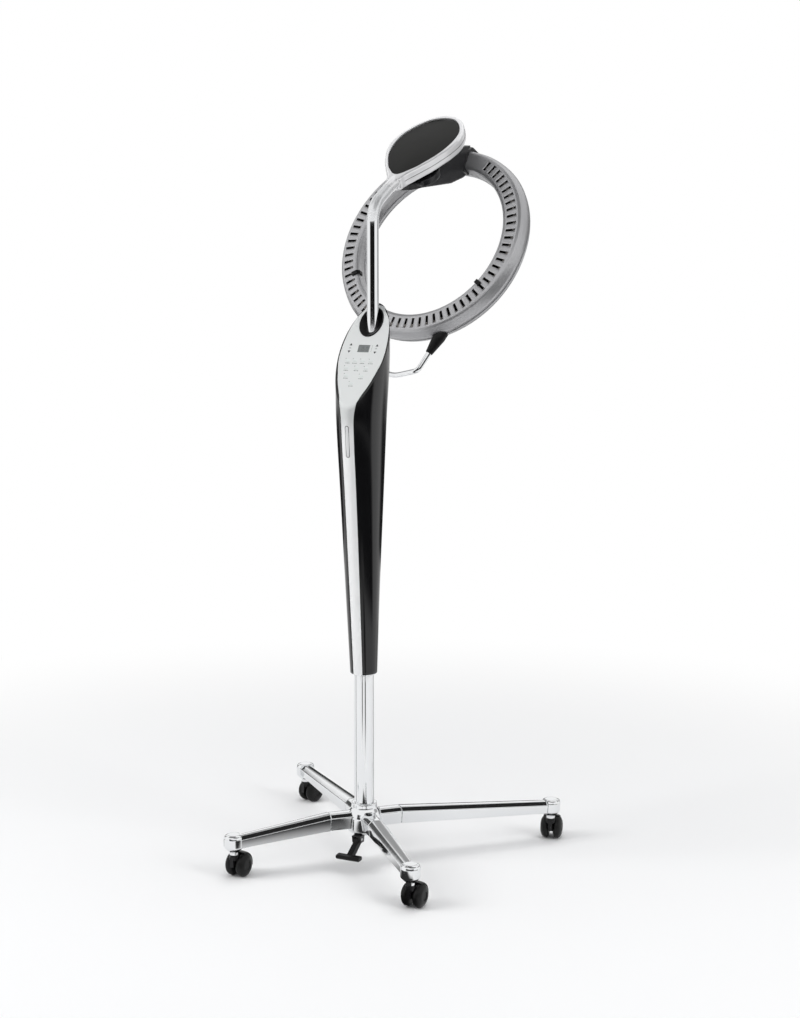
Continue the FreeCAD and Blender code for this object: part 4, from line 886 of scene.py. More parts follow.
def hood_shells():
    """The hood, its web, and the boss, strut and stem that carry it."""
    fender = skin([fender_section(FENDER_START + FENDER_STEP * i) for i in range(33)])
    disc = web_sector(11.0, 0, 360, 48)
    spoke = web_sector(27.5, FENDER_START, FENDER_START + FENDER_STEP * 32, 24)
    boss_profile = softened([(0, 40), (10, 40), (10, 50.6), (0, 50.6)], [0, 0, 1.2, 0], closed=False)
    strut = skin([[(-10, -4.5, z), (6, -4.5, z), (6, 4.5, z), (-10, 4.5, z)] for z in (25.0, 46.0)])
    stem = turned([(0, 49.6), (5.5, 49.6), (5.5, 74.6), (0, 74.6)], 32)
    return joined(fender, disc, spoke, turned(boss_profile, 40), strut, stem)


print("hood points:", len(hood_shells()[0]))

# %% Four castors
for corner in CORNERS:
    place = castor_frame(corner)
    piece("castor_cover_" + corner, hood_shells(), "castor_hood", "castor_" + corner,
          ["castor_hood_" + corner], place, 32.0)
    for side, sign in (("inner", 1.0), ("outer", -1.0)):
        on_axle = slid(TRAIL, sign * (WEB / 2 + WHEEL_GAP), WHEEL) @ spun(-90.0 * sign, "X")
        piece(f"castor_tyre_{corner}_{side}", turned(wheel_profile, 80), "castor_tread", "wheels_" + corner,
              [f"castor_wheel_{corner}_{side}"], place @ on_axle, 32.0)
    copied("castor_axle_" + corner, "steel_shaft", "wheels_" + corner)
print("castors:", len(HEADINGS), "tread radius", WHEEL)

# %% [markdown]
# ## Column, collar and pedal
# The column is a plain chrome tube: its reflections do all the work, so it is turned with
# many sides. A thin collar closes the pod's foot round it. The pedal is a lever with a
# broad tread, moulded in black, on a steel bracket.

# %% Column, collar and pedal
COLUMN_WALL = ((19.2, 84), (21.2, 84), (21.2, 750), (19.2, 750))
COLLAR = ((21.5, 417), (24.5, 417), (26, 418.5), (26, 420), (21.5, 420))
piece("column_skin", turned(COLUMN_WALL, 128, closed=True), "chrome_tube", "base", ["column_tube"])
collar_profile = softened(COLLAR, [0, 0.8, 0.6, 0, 0], 3)
piece("collar_skin", turned(collar_profile, 96, closed=True), "chrome_tube", "pod", ["bottom_collar"])
moulded("pedal_bracket", "black_steel", "base", 0.8, 3)
moulded("pedal_lever", "black_moulding", "pedal", 0.7, 4)

# %% [markdown]
# ## The pod
# The pod is a tall oval vessel that swells upwards and is cut off by the sloping control
# face. Its six stations give half-width, half-depth and centre at six heights. A smooth
# curve is read through them every few millimetres, because a polished black surface
# shows any facet as a broken reflection. The foot's edge is broken by two smaller rings,
# and the openings for the arm and the power inlet are carved by an exact Boolean.

# %% The pod's rings
# Height, half-width, half-depth and how far forward or back the middle lies.
POD = (
    (420.0, 28.7, 29.0, -0.5),
    (600.0, 35.3, 39.0, -4.3),
    (797.0, 42.1, 54.5, -5.6),
    (964.0, 47.8, 68.0, -7.0),
    (1090.0, 53.5, 71.0, -3.0),
    (1200.0, 55.5, 88.0, -20.0),
)
POD_SIDES = 160
POD_LEVELS = 130
POD_FOOT = POD[0][0]
POD_TOP = POD[-1][0]
# The broken edge of the foot: how far up and how far in each ring lies.
FOOT_EDGE = ((0.0, 1.5), (0.3, 0.7), (1.2, 0.0))


def pod_oval(height):
    """Half-width, half-depth and middle of the pod at a height."""
    return [follow(POD, height, column) for column in (1, 2, 3)]


def pod_ring(height, inset=0.0):
    """The pod's outline at a height, drawn in by an amount."""
    wide, deep, centre = pod_oval(height)
    return [((wide - inset) * math.cos(a), centre + (deep - inset) * math.sin(a), height)
            for a in full_turn(POD_SIDES, 0.5)]


outside = [pod_ring(POD_FOOT + up, inward) for up, inward in FOOT_EDGE]
for level in range(1, POD_LEVELS + 1):
    outside.append(pod_ring(POD_FOOT + (POD_TOP - POD_FOOT) * level / POD_LEVELS))
print("pod rings:", len(outside))

# %% Carve its openings
FACE_DROP = 0.5
CUT_MERGE = 0.000005
# Half-width, half-length and middle of the arm's socket on the control face.
SOCKET = (26.5, 36.0, 68.0)
SOCKET_FIT = 0.1


def oval_stack(levels, sides=96):
    """Ovals given as (half-width, half-length, middle, height), one over the other."""
    return [[(wide * math.cos(a), middle + long * math.sin(a), height) for a in full_turn(sides)]
            for wide, long, middle, height in levels]


def block(left, right, front, back, levels):
    """A plain block, for cutting."""
    return skin([[(left, front, z), (right, front, z), (right, back, z), (left, back, z)] for z in levels])


def carved(shell, cutters):
    """A closed shell less some others, each with its own frame, as a plain mesh in metres."""
    body = placed("carve_body", outwards(mesh_of("carve_body", shell), CUT_MERGE))
    tools = []
    for i, (cutter, place) in enumerate(cutters):
        name = f"carve_tool_{i}"
        tools.append(placed(name, outwards(mesh_of(name, cutter, place), CUT_MERGE)))
        step = body.modifiers.new("carve", "BOOLEAN")
        step.operation = "DIFFERENCE"
        step.solver = "EXACT"
        step.object = tools[-1]
    result = made_plain(body)
    for tool in tools:
        bpy.data.objects.remove(tool)
    return result


face_point = PANEL @ Vector((0, 0, -FACE_DROP * MM)) / MM
face_normal = PANEL.to_3x3() @ Vector((0, 0, 1))
pod_shell = sliced(skin(outside), face_point, face_normal)
across_half, along_half, socket_middle = SOCKET
socket_hole = skin(oval_stack([(across_half + SOCKET_FIT, along_half + SOCKET_FIT, socket_middle, z)
                               for z in (-14.0, 6.0)]))
inlet_hole = block(-11, 11, 40, 70, (856.0, 878.0))
pod_mesh = carved(pod_shell, [(socket_hole, PANEL), (inlet_hole, UPRIGHT)])
pod = settle("pod_body", pod_mesh, "pod_gloss_black", "pod", ["pod_shell"], 40.0)
print("pod faces:", len(pod.data.polygons))

# %% [markdown]
# ## Silver face
# One silver skin runs from the pod's foot up its front and opens into a leaf that carries
# the keys. Below the bend it lies on the curved front of the pod, and above the bend it
# is flat. It is drawn as a grid with the same columns throughout, so the bend stays
# clean. The bend's own height differs from column to column, because the pod's front is
# round. It is found by halving an interval until the front meets the face's plane.

# %% Where the silver face runs
# Half-widths of the leaf along the control face, and of the stripe up the pod's front.
LEAF = ((-146, 15.2), (-137, 16.6), (-128, 18.6), (-119, 21.2), (-110, 24), (-101, 27.6), (-83, 34.8),
        (-65, 40.4), (-24, 49.8), (24, 48.8), (73, 38.5), (98, 23), (110, 0))
STRIP = ((420.0, 10.3), (700.0, 12.5), (930.0, 13.7), (962.0, 14.1), (972.0, 14.9), (982.0, 16.2),
         (1001.0, 19.6))
PROUD = 0.25
CREASE_HALF = 19.0
CREASE_RANGE = (960.0, 1040.0)
TIP_FROM, TIP_HALF = LEAF[-2]
TIP_LENGTH = LEAF[-1][0] - TIP_FROM
TIP_POWER = 2.2
TO_PANEL = PANEL.inverted()


def leaf_half(q):
    """Half the leaf's width at a place along the control face, with a blunt round tip."""
    if q > TIP_FROM:
        share = (q - TIP_FROM) / TIP_LENGTH
        return TIP_HALF * math.sqrt(max(0.0, 1.0 - share ** TIP_POWER))
    return follow(LEAF[:-1], q, 1)


def front_point(x, height):
    """A point a little proud of the pod's front."""
    wide, deep, centre = pod_oval(height)
    return Vector((x, centre - (deep + PROUD) * math.sqrt(1 - (x / (wide + PROUD)) ** 2), height))


def crease_height(x):
    """Where the front of the pod meets the plane of the control face."""
    low, high = CREASE_RANGE
    for _ in range(30):
        middle = (low + high) / 2
        if (TO_PANEL @ (front_point(x, middle) * MM)).z > 0:
            high = middle
        else:
            low = middle
    return low


print("the bend lies at", round(crease_height(0.0), 1), "mm in the middle")

# %% Silver face
COLUMNS = 25
LEAF_ROWS = 70
STRIP_ROWS = 60
STRIP_FOOT = POD_FOOT + 0.6
LEAF_TOP = LEAF[-1][0] - 0.1
LEAF_CROWDING = 1.5
PLATE_WALL = 2.0
across = [math.sin(math.pi / 2 * (-1 + 2 * i / (COLUMNS - 1))) for i in range(COLUMNS)]
creases = [crease_height(u * CREASE_HALF) for u in across]
grid = []
for row in range(STRIP_ROWS + 1):
    line = []
    for u, top in zip(across, creases):
        height = STRIP_FOOT + (top - STRIP_FOOT) * row / STRIP_ROWS
        line.append(front_point(u * follow(STRIP, min(height, STRIP[-1][0]), 1), height))
    grid.append(line)
crease_spots = [TO_PANEL @ (spot * MM) / MM for spot in grid[-1]]
for row in range(1, LEAF_ROWS + 1):
    share = 1 - (1 - row / LEAF_ROWS) ** LEAF_CROWDING
    line = []
    for u, spot in zip(across, crease_spots):
        q = spot.y + (LEAF_TOP - spot.y) * share
        line.append(PANEL @ (Vector((u * leaf_half(q), q, 0.0)) * MM) / MM)
    grid.append(line)


def plate_from_grid(rows, thickness):
    """A shell from a grid: its skin, given a wall inwards, with its edge closed."""
    mesh = bpy.data.meshes.new("grid")
    count = len(rows[0])
    verts = [tuple(v) for line in rows for v in line]
    faces = [(r * count + c, r * count + c + 1, (r + 1) * count + c + 1, (r + 1) * count + c)
             for r in range(len(rows) - 1) for c in range(count - 1)]
    mesh.from_pydata(verts, [], faces)
    work = bmesh.new()
    work.from_mesh(mesh)
    bmesh.ops.remove_doubles(work, verts=work.verts, dist=0.02)
    bmesh.ops.recalc_face_normals(work, faces=work.faces)
    facing = sum((f.normal * f.calc_area() for f in work.faces), Vector())
    if facing.y > 0:
        bmesh.ops.reverse_faces(work, faces=work.faces)
    work.to_mesh(mesh)
    work.free()
    flat = placed("grid", mesh)
    wall = flat.modifiers.new("wall", "SOLIDIFY")
    wall.thickness = thickness
    wall.offset = -1.0
    return shell_of(made_plain(flat))


display_hole = block(-13.1, 13.1, -5.35, 12.35, (-9.0, 6.0))
face_mesh = carved(plate_from_grid(grid, PLATE_WALL), [(socket_hole, PANEL), (display_hole, PANEL)])
face = settle("silver_face", face_mesh, "panel_silver", "pod", ["face_panel"], 62.0)
bevelled(face, 0.35, 2, 50.0)
print("silver face polygons:", len(face.data.polygons))

# %% [markdown]
# ## Keys and marks
# The face is a sheet of printed film over soft domes. Each key is a shallow dome in the
# film's own silver with a small tinted lamp, and the marks are thin printed shapes: arrows
# beside the display and plain bars under the keys in place of words.

# %% Keys
# Places on the control face are (across, up the face), from its own middle, in millimetres.
KEYS = ((-28, -26), (-11.5, -26), (5.6, -26), (25.2, -26), (-26.5, -43.5), (-3, -43.5), (18.6, -43.5),
        (-22, -62), (12.6, -62), (-5.4, -80))
KEY_HALF = (5.4, 3.6)
DOME_RINGS = ((1.0, -0.2), (0.97, 0.1), (0.86, 0.32), (0.6, 0.45), (0.3, 0.5))
INKS = {
    "legend_ink": ((0.02, 0.02, 0.022), 0.5, 900.0),
    "legend_tint": ((0.08, 0.105, 0.095), 0.45, 900.0),
    # The key film is the leaf's darker silver, so it carries the same painted shade.
    "key_film": ((0.66, 0.69, 0.68), 0.3, 700.0),
}
for finish_name, values in INKS.items():
    MATERIALS[finish_name] = speckled(finish_name, *values)


def on_face(name, shells, finish, smooth=20.0):
    """One piece on the control face from many small shells. It stands for no solid."""
    piece(name, joined(*shells), finish, "pod", [], PANEL, smooth)


def key_dome(x, q):
    """A key, raised a little and rounded at its edge."""
    wide, long = KEY_HALF
    return skin([[(x + wide * share * math.cos(a), q + long * share * math.sin(a), rise)
                  for a in full_turn(28)] for share, rise in DOME_RINGS])


on_face("key_domes", [key_dome(x, q) for x, q in KEYS], "key_film", 40.0)
print("keys:", len(KEYS))

# %% Printed marks
# An arrow points up the face where its last number is 1, and down where it is -1.
ARROWS = ((-31.5, 12.3, 1), (-32, -4.4, -1), (28.7, 11.6, 1), (27.7, -5, -1))
ARROW_COLUMNS = (-31.7, 28.2)
LAMP_COLUMN = 18.3


def printed(outline, lift=0.08, sink=-0.3):
    """A thin printed shape on the face."""
    return skin([[(x, q, z) for x, q in outline] for z in (sink, lift)])


def bar(x, q, wide, tall, slant=0.0):
    """A printed bar, which leans over by the slant."""
    return printed([(x - wide / 2, q - tall / 2), (x + wide / 2, q - tall / 2),
                    (x + wide / 2 + slant, q + tall / 2), (x - wide / 2 + slant, q + tall / 2)])


def arrow(x, q, way):
    """A printed triangle that points up or down the face."""
    return printed([(x - 3.3, q - 2.2 * way), (x + 3.3, q - 2.2 * way), (x, q + 3.2 * way)])


def dot(x, q, radius=0.8):
    """A printed round mark."""
    return printed([(x + radius * math.cos(a), q + radius * math.sin(a)) for a in full_turn(16)], 0.15)


on_face("arrow_marks", [arrow(*spot) for spot in ARROWS], "legend_ink")
marks = []
for index, (x, q) in enumerate(KEYS):
    marks.append(dot(x - 5.5, q + 4.6))
    for step in range(3):
        marks.append(bar(x - 3.4 + 3.6 * step, q - 6.2, 2.8, 1.0 + 0.4 * ((index + step) % 2)))
for column in ARROW_COLUMNS:
    marks.append(bar(column, 3.7, 5.5, 0.7))
    marks.append(bar(column, 5.2, 3.6, 0.5))
for step in range(7):
    marks.append(dot(LAMP_COLUMN, -3.2 + 2.4 * step, 0.55))
on_face("tinted_marks", marks, "legend_tint")
print("marks:", len(marks))

# %% [markdown]
# ## Display
# The display shows three digits made of bars, as a liquid crystal does. Each digit is a
# choice from seven places, and a bar that stands leans a little.

# %% Lens and digits
LENS = [(-12.8, -5.05), (12.8, -5.05), (12.8, 12.05), (-12.8, 12.05)]
LENS_LEVELS = (-7.6, -0.45)
# Each place of a bar is (across, up, whether it stands), in steps from the digit's foot.
BARS = ((0, 0, True), (0, 0, False), (1, 0, True), (0, 1, True), (0, 2, False), (1, 1, True), (0, 1, False))
LIT = {0: (0, 1, 2, 3, 4, 5), 1: (2, 5), 5: (1, 2, 3, 4, 6)}
SHOWN = ((-7.8, 1), (-1.8, 5), (5.4, 0))
BAR_STEP = (3.4, 4.0)
DIGIT_FOOT = -0.6
DIGIT_SINK = -0.5

lens_outline = softened(LENS, 0.6)
lens_shell = skin([[(x, q, z) for x, q in lens_outline] for z in LENS_LEVELS])
piece("display_lens_cover", lens_shell, "display_lens", "pod", ["display_window"], PANEL, 30.0)
digits = []
for start, digit in SHOWN:
    for number in LIT[digit]:
        x, q, stands = BARS[number]
        left = start + x * BAR_STEP[0]
        low = DIGIT_FOOT + q * BAR_STEP[1]
        mark = bar(left, low + 2.0, 0.7, 3.4, 0.2) if stands else bar(left + 1.7, low, 2.8, 0.7)
        digits.append(moved(mark, slid(z=DIGIT_SINK)))
on_face("display_digits", digits, "legend_ink")
print("bars lit:", len(digits))

# %% [markdown]
# ## Stripe insert, arm socket and inlet
# A clear pill set in the stripe shows the treatment's progress. Where the arm enters, a
# dished black moulding hides the clamp: a stack of ovals runs down inside it.

# %% Insert, socket and inlet
INSERT_LOW = 890.5
INSERT_HIGH = 947.5
PILL_STEPS = 12
# Each ring is (half-width, how far it stands out from the stripe).
BEZEL_RINGS = ((4.5, -1.5), (4.5, 0.25), (4.1, 0.4), (3.3, 0.1))
WINDOW_RINGS = ((3.2, -1.0), (3.2, 0.25), (2.6, 0.5), (1.4, 0.62))
# Each oval is (inwards across, inwards along, moved up the face, height).
DISH_OVALS = ((0.0, 0.0, 0.0, -12.0), (0.0, 0.0, 0.0, 0.9), (0.4, 0.4, 0.0, 1.4), (1.1, 1.1, 0.0, 1.6),
              (2.4, 2.4, 0.0, 1.3), (3.4, 3.4, 0.0, 0.2), (6.0, 6.6, 1.6, -4.0), (10.6, 12.6, 6.0, -8.0))


def pill(half):
    """The insert's outline, a slot with round ends."""
    angles = [math.pi * i / PILL_STEPS for i in range(PILL_STEPS + 1)]
    top = [(half * math.cos(a), INSERT_HIGH + half * math.sin(a)) for a in angles]
    foot = [(-x, INSERT_LOW - (z - INSERT_HIGH)) for x, z in top]
    return top + foot


def pill_stack(rings):
    """The insert's outline at several widths, laid on the curve of the stripe."""
    return skin([[front_point(x, z) + Vector((0, -rise, 0)) for x, z in pill(half)] for half, rise in rings])


piece("insert_bezel", pill_stack(BEZEL_RINGS), "legend_ink", "pod", [], UPRIGHT, 30.0)
piece("insert_window", pill_stack(WINDOW_RINGS), "clear_insert", "pod", ["strip_insert"], UPRIGHT, 40.0)
ovals = [(across_half - narrower, along_half - shorter, socket_middle + up, height)
         for narrower, shorter, up, height in DISH_OVALS]
piece("arm_socket_dish", skin(oval_stack(ovals)), "black_moulding", "pod", ["arm_socket"], PANEL, 30.0)
copied("power_inlet", "black_moulding", "pod", 0.5)
print("dish ovals:", len(ovals))

# %% [markdown]
# ## The arm
# One chrome tube stands in the pod, bends once and lies along the head's plane. The bend
# is worked out as the corner of two lines with a radius, so the tube meets the head's
# neck exactly on its middle line.

# %% Arm
ARM_Y = 46.7
ARM_RADIUS = 12.7
ARM_FOOT = 1032.0
ARM_END = -211.0
BEND = 55.0
RIM_MIDDLE = -6.0
UPRIGHT_STEPS = 24
RUN_STEPS = 6
tilt = math.radians(HEAD_TILT)
corner_along = (ARM_Y - HEAD_Y + RIM_MIDDLE * math.sin(tilt)) / math.cos(tilt)
corner_height = HEAD_Z + corner_along * math.sin(tilt) + RIM_MIDDLE * math.cos(tilt)
bend_angle = math.pi / 2 - tilt
tangent = BEND * math.tan(bend_angle / 2)
elbow = arc((ARM_Y + BEND, corner_height - tangent), BEND, 180.0, 180.0 - math.degrees(bend_angle), 40)
elbow_foot = elbow[0][2]
elbow_end = Vector(elbow[-1])
run_end = HEAD @ (Vector((0, ARM_END, RIM_MIDDLE)) * MM) / MM
upright = [(0.0, ARM_Y, ARM_FOOT + (elbow_foot - ARM_FOOT) * i / UPRIGHT_STEPS)
           for i in range(UPRIGHT_STEPS)]
run = [elbow_end.lerp(run_end, (i + 1) / RUN_STEPS) for i in range(RUN_STEPS)]
arm_shell = swept(upright + elbow + run, ARM_RADIUS, 96)
piece("arm_skin", arm_shell, "chrome_tube", "pod", ["arm_tube"], UPRIGHT, 40.0)
print("the elbow starts at", round(elbow_foot, 1), "and the run is", round((run_end - elbow_end).length, 1))

# %% [markdown]
# ## The head
# The head is a racket: a silver rim whose neck grows out of the arm, a black cover let
# into it and the motor's pan below. The rim and its neck are one casting, so they are
# melted together like the hub, and the seat for the cover is carved afterwards to keep
# its edge crisp. Both outlines are smooth curves through a few points of one side, which
# are mirrored. The rim's mirror shows any bump in its curve, so that one is eased too.

# %% Outlines of the head
# Points are (along the head, half its width there).
FACE = ((-154, 0), (-149, 10.5), (-136, 21), (-119, 33), (-95, 44.5), (-69, 55.5), (-40, 64), (-8, 69),
        (20, 69.8), (47, 66.5), (76, 55.5), (97, 43), (114.5, 26.5), (122, 0))
RACKET = ((-178, 13.3), (-157, 20.5), (-132, 34), (-112, 44.5), (-92, 54.5), (-60, 66.5), (-38, 74),
          (-5, 80.5), (17, 81), (46, 77), (76, 66.5), (96, 56.5), (117, 40), (131, 21), (136.5, 0))


def smooth_loop(spots, per_span=8):
    """A closed Catmull-Rom curve through points of a plane."""
    count = len(spots)
    loop = []
    for i in range(count):
        a, b, c, d = (Vector(spots[(i + k) % count]) for k in (-1, 0, 1, 2))
        for step in range(per_span):
            t = step / per_span
            loop.append((b * 2 + (c - a) * t + (a * 2 - b * 5 + c * 4 - d) * t * t
                         + (b * 3 - a - c * 3 + d) * t ** 3) / 2)
    return loop


def eased(loop, passes):
    """The same loop with its sudden changes of curvature spread out."""
    for _ in range(passes):
        loop = [(loop[i - 1] + spot * 2 + loop[(i + 1) % len(loop)]) / 4 for i, spot in enumerate(loop)]
    return loop


def mirrored(table):
    """Both sides of an outline. A point of no width is on the middle line and isn't doubled."""
    right = [(half, along) for along, half in table]
    return right + [(-x, y) for x, y in reversed(right) if x]


def inset(loop, amount):
    """A loop moved inwards along its own normals."""
    result = []
    count = len(loop)
    for i, spot in enumerate(loop):
        along = (Vector(loop[(i + 1) % count]) - Vector(loop[i - 1])).normalized()
        result.append(Vector(spot) + Vector((-along.y, along.x)) * amount)
    return result


def at_height(loop, z):
    """The loop as a ring at one height."""
    return [(spot[0], spot[1], z) for spot in loop]


def stack(loop, levels):
    """Copies of a loop as rings, each moved inwards by an amount and set at a height."""
    return [at_height(inset(loop, amount), z) for amount, z in levels]


face_loop = smooth_loop(mirrored(FACE))
racket_loop = eased(smooth_loop(mirrored(RACKET)), 5)
print("outline points:", len(face_loop), len(racket_loop))

# %% The rim and its neck
# The band's levels are (inwards, height). A neck's ring is (along, half-width, half-height, drop).
RIM_LEVELS = ((5.0, -24.5), (2.6, -24.1), (0.9, -22.7), (0.0, -20.1),
              (0.0, -1.6), (0.8, 1.0), (2.4, 2.4), (5.0, 3.0))
NECK_RINGS = ((-212, 12.7, 12.7, 0.0), (-205, 12.9, 12.8, 0.2), (-195, 13.3, 12.9, 0.8),
              (-181, 14.0, 12.9, 2.0), (-165, 15.8, 12.8, 3.4), (-148, 17.5, 12.6, 4.6))
SEAT_LEVELS = ((-0.25, -8.0), (-0.25, 20.0))
OPENING_LEVELS = ((8.0, -40.0), (8.0, -7.0))

neck = skin([[(wide * math.cos(a), along, RIM_MIDDLE - drop + tall * math.sin(a)) for a in full_turn(48)]
             for along, wide, tall, drop in NECK_RINGS])
rim_shell = shell_of(melted("rim", [skin(stack(racket_loop, RIM_LEVELS)), neck], 1.0, 8), MM)
seat = skin(stack(face_loop, SEAT_LEVELS))
opening = skin(stack(face_loop, OPENING_LEVELS))
rim_mesh = carved(rim_shell, [(seat, UPRIGHT), (opening, UPRIGHT)])
rim_mesh.transform(HEAD)
rim = settle("head_rim", rim_mesh, "rim_silver", "pod", ["rim_frame"], 42.0)
print("rim faces:", len(rim.data.polygons))

# %% Cover, pan and seam
COVER_EDGE = ((0.0, -8.0), (0.0, -0.4), (0.25, 0.05), (0.8, 0.3))
COVER_MIDDLE = -16.0
COVER_CROWN = 1.7
COVER_STEPS = 14
# Half-width, half-length, middle and height of the pan's ovals.
PAN_OVALS = ((63.8, 117.8, 0, -15.0), (63.8, 117.8, 0, -16.5), (62.6, 116.6, 0, -20.0),
             (59.5, 113.5, 0, -25.5), (56.6, 110.6, 0, -29.2), (54.6, 108.6, 0, -30.6),
             (52.5, 106.5, 0, -31.0))
SEAM_HEIGHT = -11.0
SEAM_RADIUS = 0.6
SEAM_FROM = -160

cover_rings = stack(face_loop, COVER_EDGE)
edge_inset, edge_height = COVER_EDGE[-1]
for step in range(1, COVER_STEPS):
    share = 1 - step / COVER_STEPS
    crown = edge_height + COVER_CROWN * (1 - share ** 2)
    cover_rings.append([(x * share, COVER_MIDDLE + (y - COVER_MIDDLE) * share, crown)
                        for x, y in inset(face_loop, edge_inset)])
piece("cover_skin", skin(cover_rings), "cover_satin_black", "pod", ["top_cover"], HEAD, 40.0)
piece("motor_pan", skin(oval_stack(PAN_OVALS, 128)), "housing_gloss_black", "pod", ["motor_housing"],
      HEAD, 30.0)
seam = [(x, y, SEAM_HEIGHT) for x, y in inset(racket_loop, 0.1) if y > SEAM_FROM]
piece("rim_seam", swept(seam, SEAM_RADIUS, 8, side=(0.0, 0.0, 1.0)), "black_moulding", "pod", [], HEAD, 80.0)
print("cover rings:", len(cover_rings), "seam points:", len(seam))

# %% [markdown]
# ## The rotor
# The wedge that carries the ring deepens from the turntable down to the bracket. It is a
# thick moulding, so it takes the melted treatment with more rounds than the rest.

# %% Rotor arm and bracket
moulded("rotor_arm", "housing_gloss_black", "rotor", 1.3, 10)
moulded("ring_bracket", "housing_gloss_black", "rotor", 1.0, 5)

# %% [markdown]
# ## The slotted ring
# The ring is a hollow hoop in two shells. Its front carries sixty-two radial slots, five
# degrees apart. Geometry Nodes repeat one drawn segment round the axis: a slotted segment
# sixty-two times and a plain one for the rest, realized and merged into a single shell.
# Only the segment has to be drawn well. Its rows follow the shell's profile, with a few
# more on the flat face where the slot begins and ends. Its columns are two at each side,
# at a share of the step, and four at the slot, which keeps parallel sides.

# %% The ring's profiles
# Points are (radius, height) in the ring's frame.
RING_FRONT = ((181, -30), (181, -6), (183, -2), (188, 0), (219, 0), (224, -3), (228.5, -13),
              (231.5, -21), (232.5, -30))
RING_BACK = ((232.5, -30), (230.5, -39), (224.5, -49), (213.5, -58), (196, -58), (186, -50),
             (181, -40), (181, -30))
WALL = 1.0
SLOT_INNER = 193.0
SLOT_OUTER = 215.0
SLOT_HALF = 2.8
SLOT_STEP = 5.0
SLOT_COUNT = 62
SLOT_CORNER = 0.6
SLOT_MARGIN = 1.5
STEPS_ROUND = 72
front_line = softened(RING_FRONT, [0, 2, 4, 6, 6, 8, 14, 10, 0], closed=False)
print("front profile points:", len(front_line))

# %% Draw one segment of the front shell
SIDE_SHARES = (1.0, 0.72)
FACE_ROWS = (SLOT_INNER - SLOT_MARGIN, SLOT_INNER, SLOT_INNER + SLOT_CORNER,
             SLOT_OUTER - SLOT_CORNER, SLOT_OUTER, SLOT_OUTER + SLOT_MARGIN)


def segment_line():
    """The profile, with the rows of the flat face put in where the slot lies."""
    def on_flat(spot):
        return FACE_ROWS[0] < spot[0] < FACE_ROWS[-1] and spot[1] > -0.5

    kept = [spot for spot in front_line if not on_flat(spot)]
    split = 1 + max(i for i, spot in enumerate(kept) if spot[0] < SLOT_INNER and spot[1] > -5)
    return kept[:split] + [(r, 0.0) for r in FACE_ROWS] + kept[split:]


def segment_row(r, z):
    """The eight points of one row, from one side of the step to the other."""
    corner = SLOT_CORNER if r in (SLOT_INNER, SLOT_OUTER) else 0.0
    half = []
    for share in SIDE_SHARES:
        a = math.radians(SLOT_STEP / 2) * share
        half.append((r * math.sin(a), r * math.cos(a)))
    for x in (SLOT_HALF - corner, SLOT_HALF / 3):
        half.append((x, math.sqrt(r * r - x * x)))
    row = [(-x, y) for x, y in half] + list(reversed(half))
    return [(x * MM, y * MM, z * MM) for x, y in row]


def segment(name, slotted):
    """One step of the front shell's outside, as a strip of quads with or without its slot."""
    line = segment_line()
    rows = [segment_row(r, z) for r, z in line]
    wide = len(rows[0])
    faces = []
    for i, (here, after) in enumerate(zip(line, line[1:])):
        inside = here[0] >= SLOT_INNER and after[0] <= SLOT_OUTER and here[1] > -0.1
        for j in range(wide - 1):
            if not (slotted and inside and 2 <= j <= 4):
                faces.append((i * wide + j, i * wide + j + 1, (i + 1) * wide + j + 1, (i + 1) * wide + j))
    mesh = bpy.data.meshes.new(name)
    mesh.from_pydata([spot for row in rows for spot in row], [], faces)
    return placed(name, mesh)


slotted_segment = segment("slotted_segment", True)
plain_segment = segment("plain_segment", False)
print("segment faces:", len(slotted_segment.data.polygons), len(plain_segment.data.polygons))

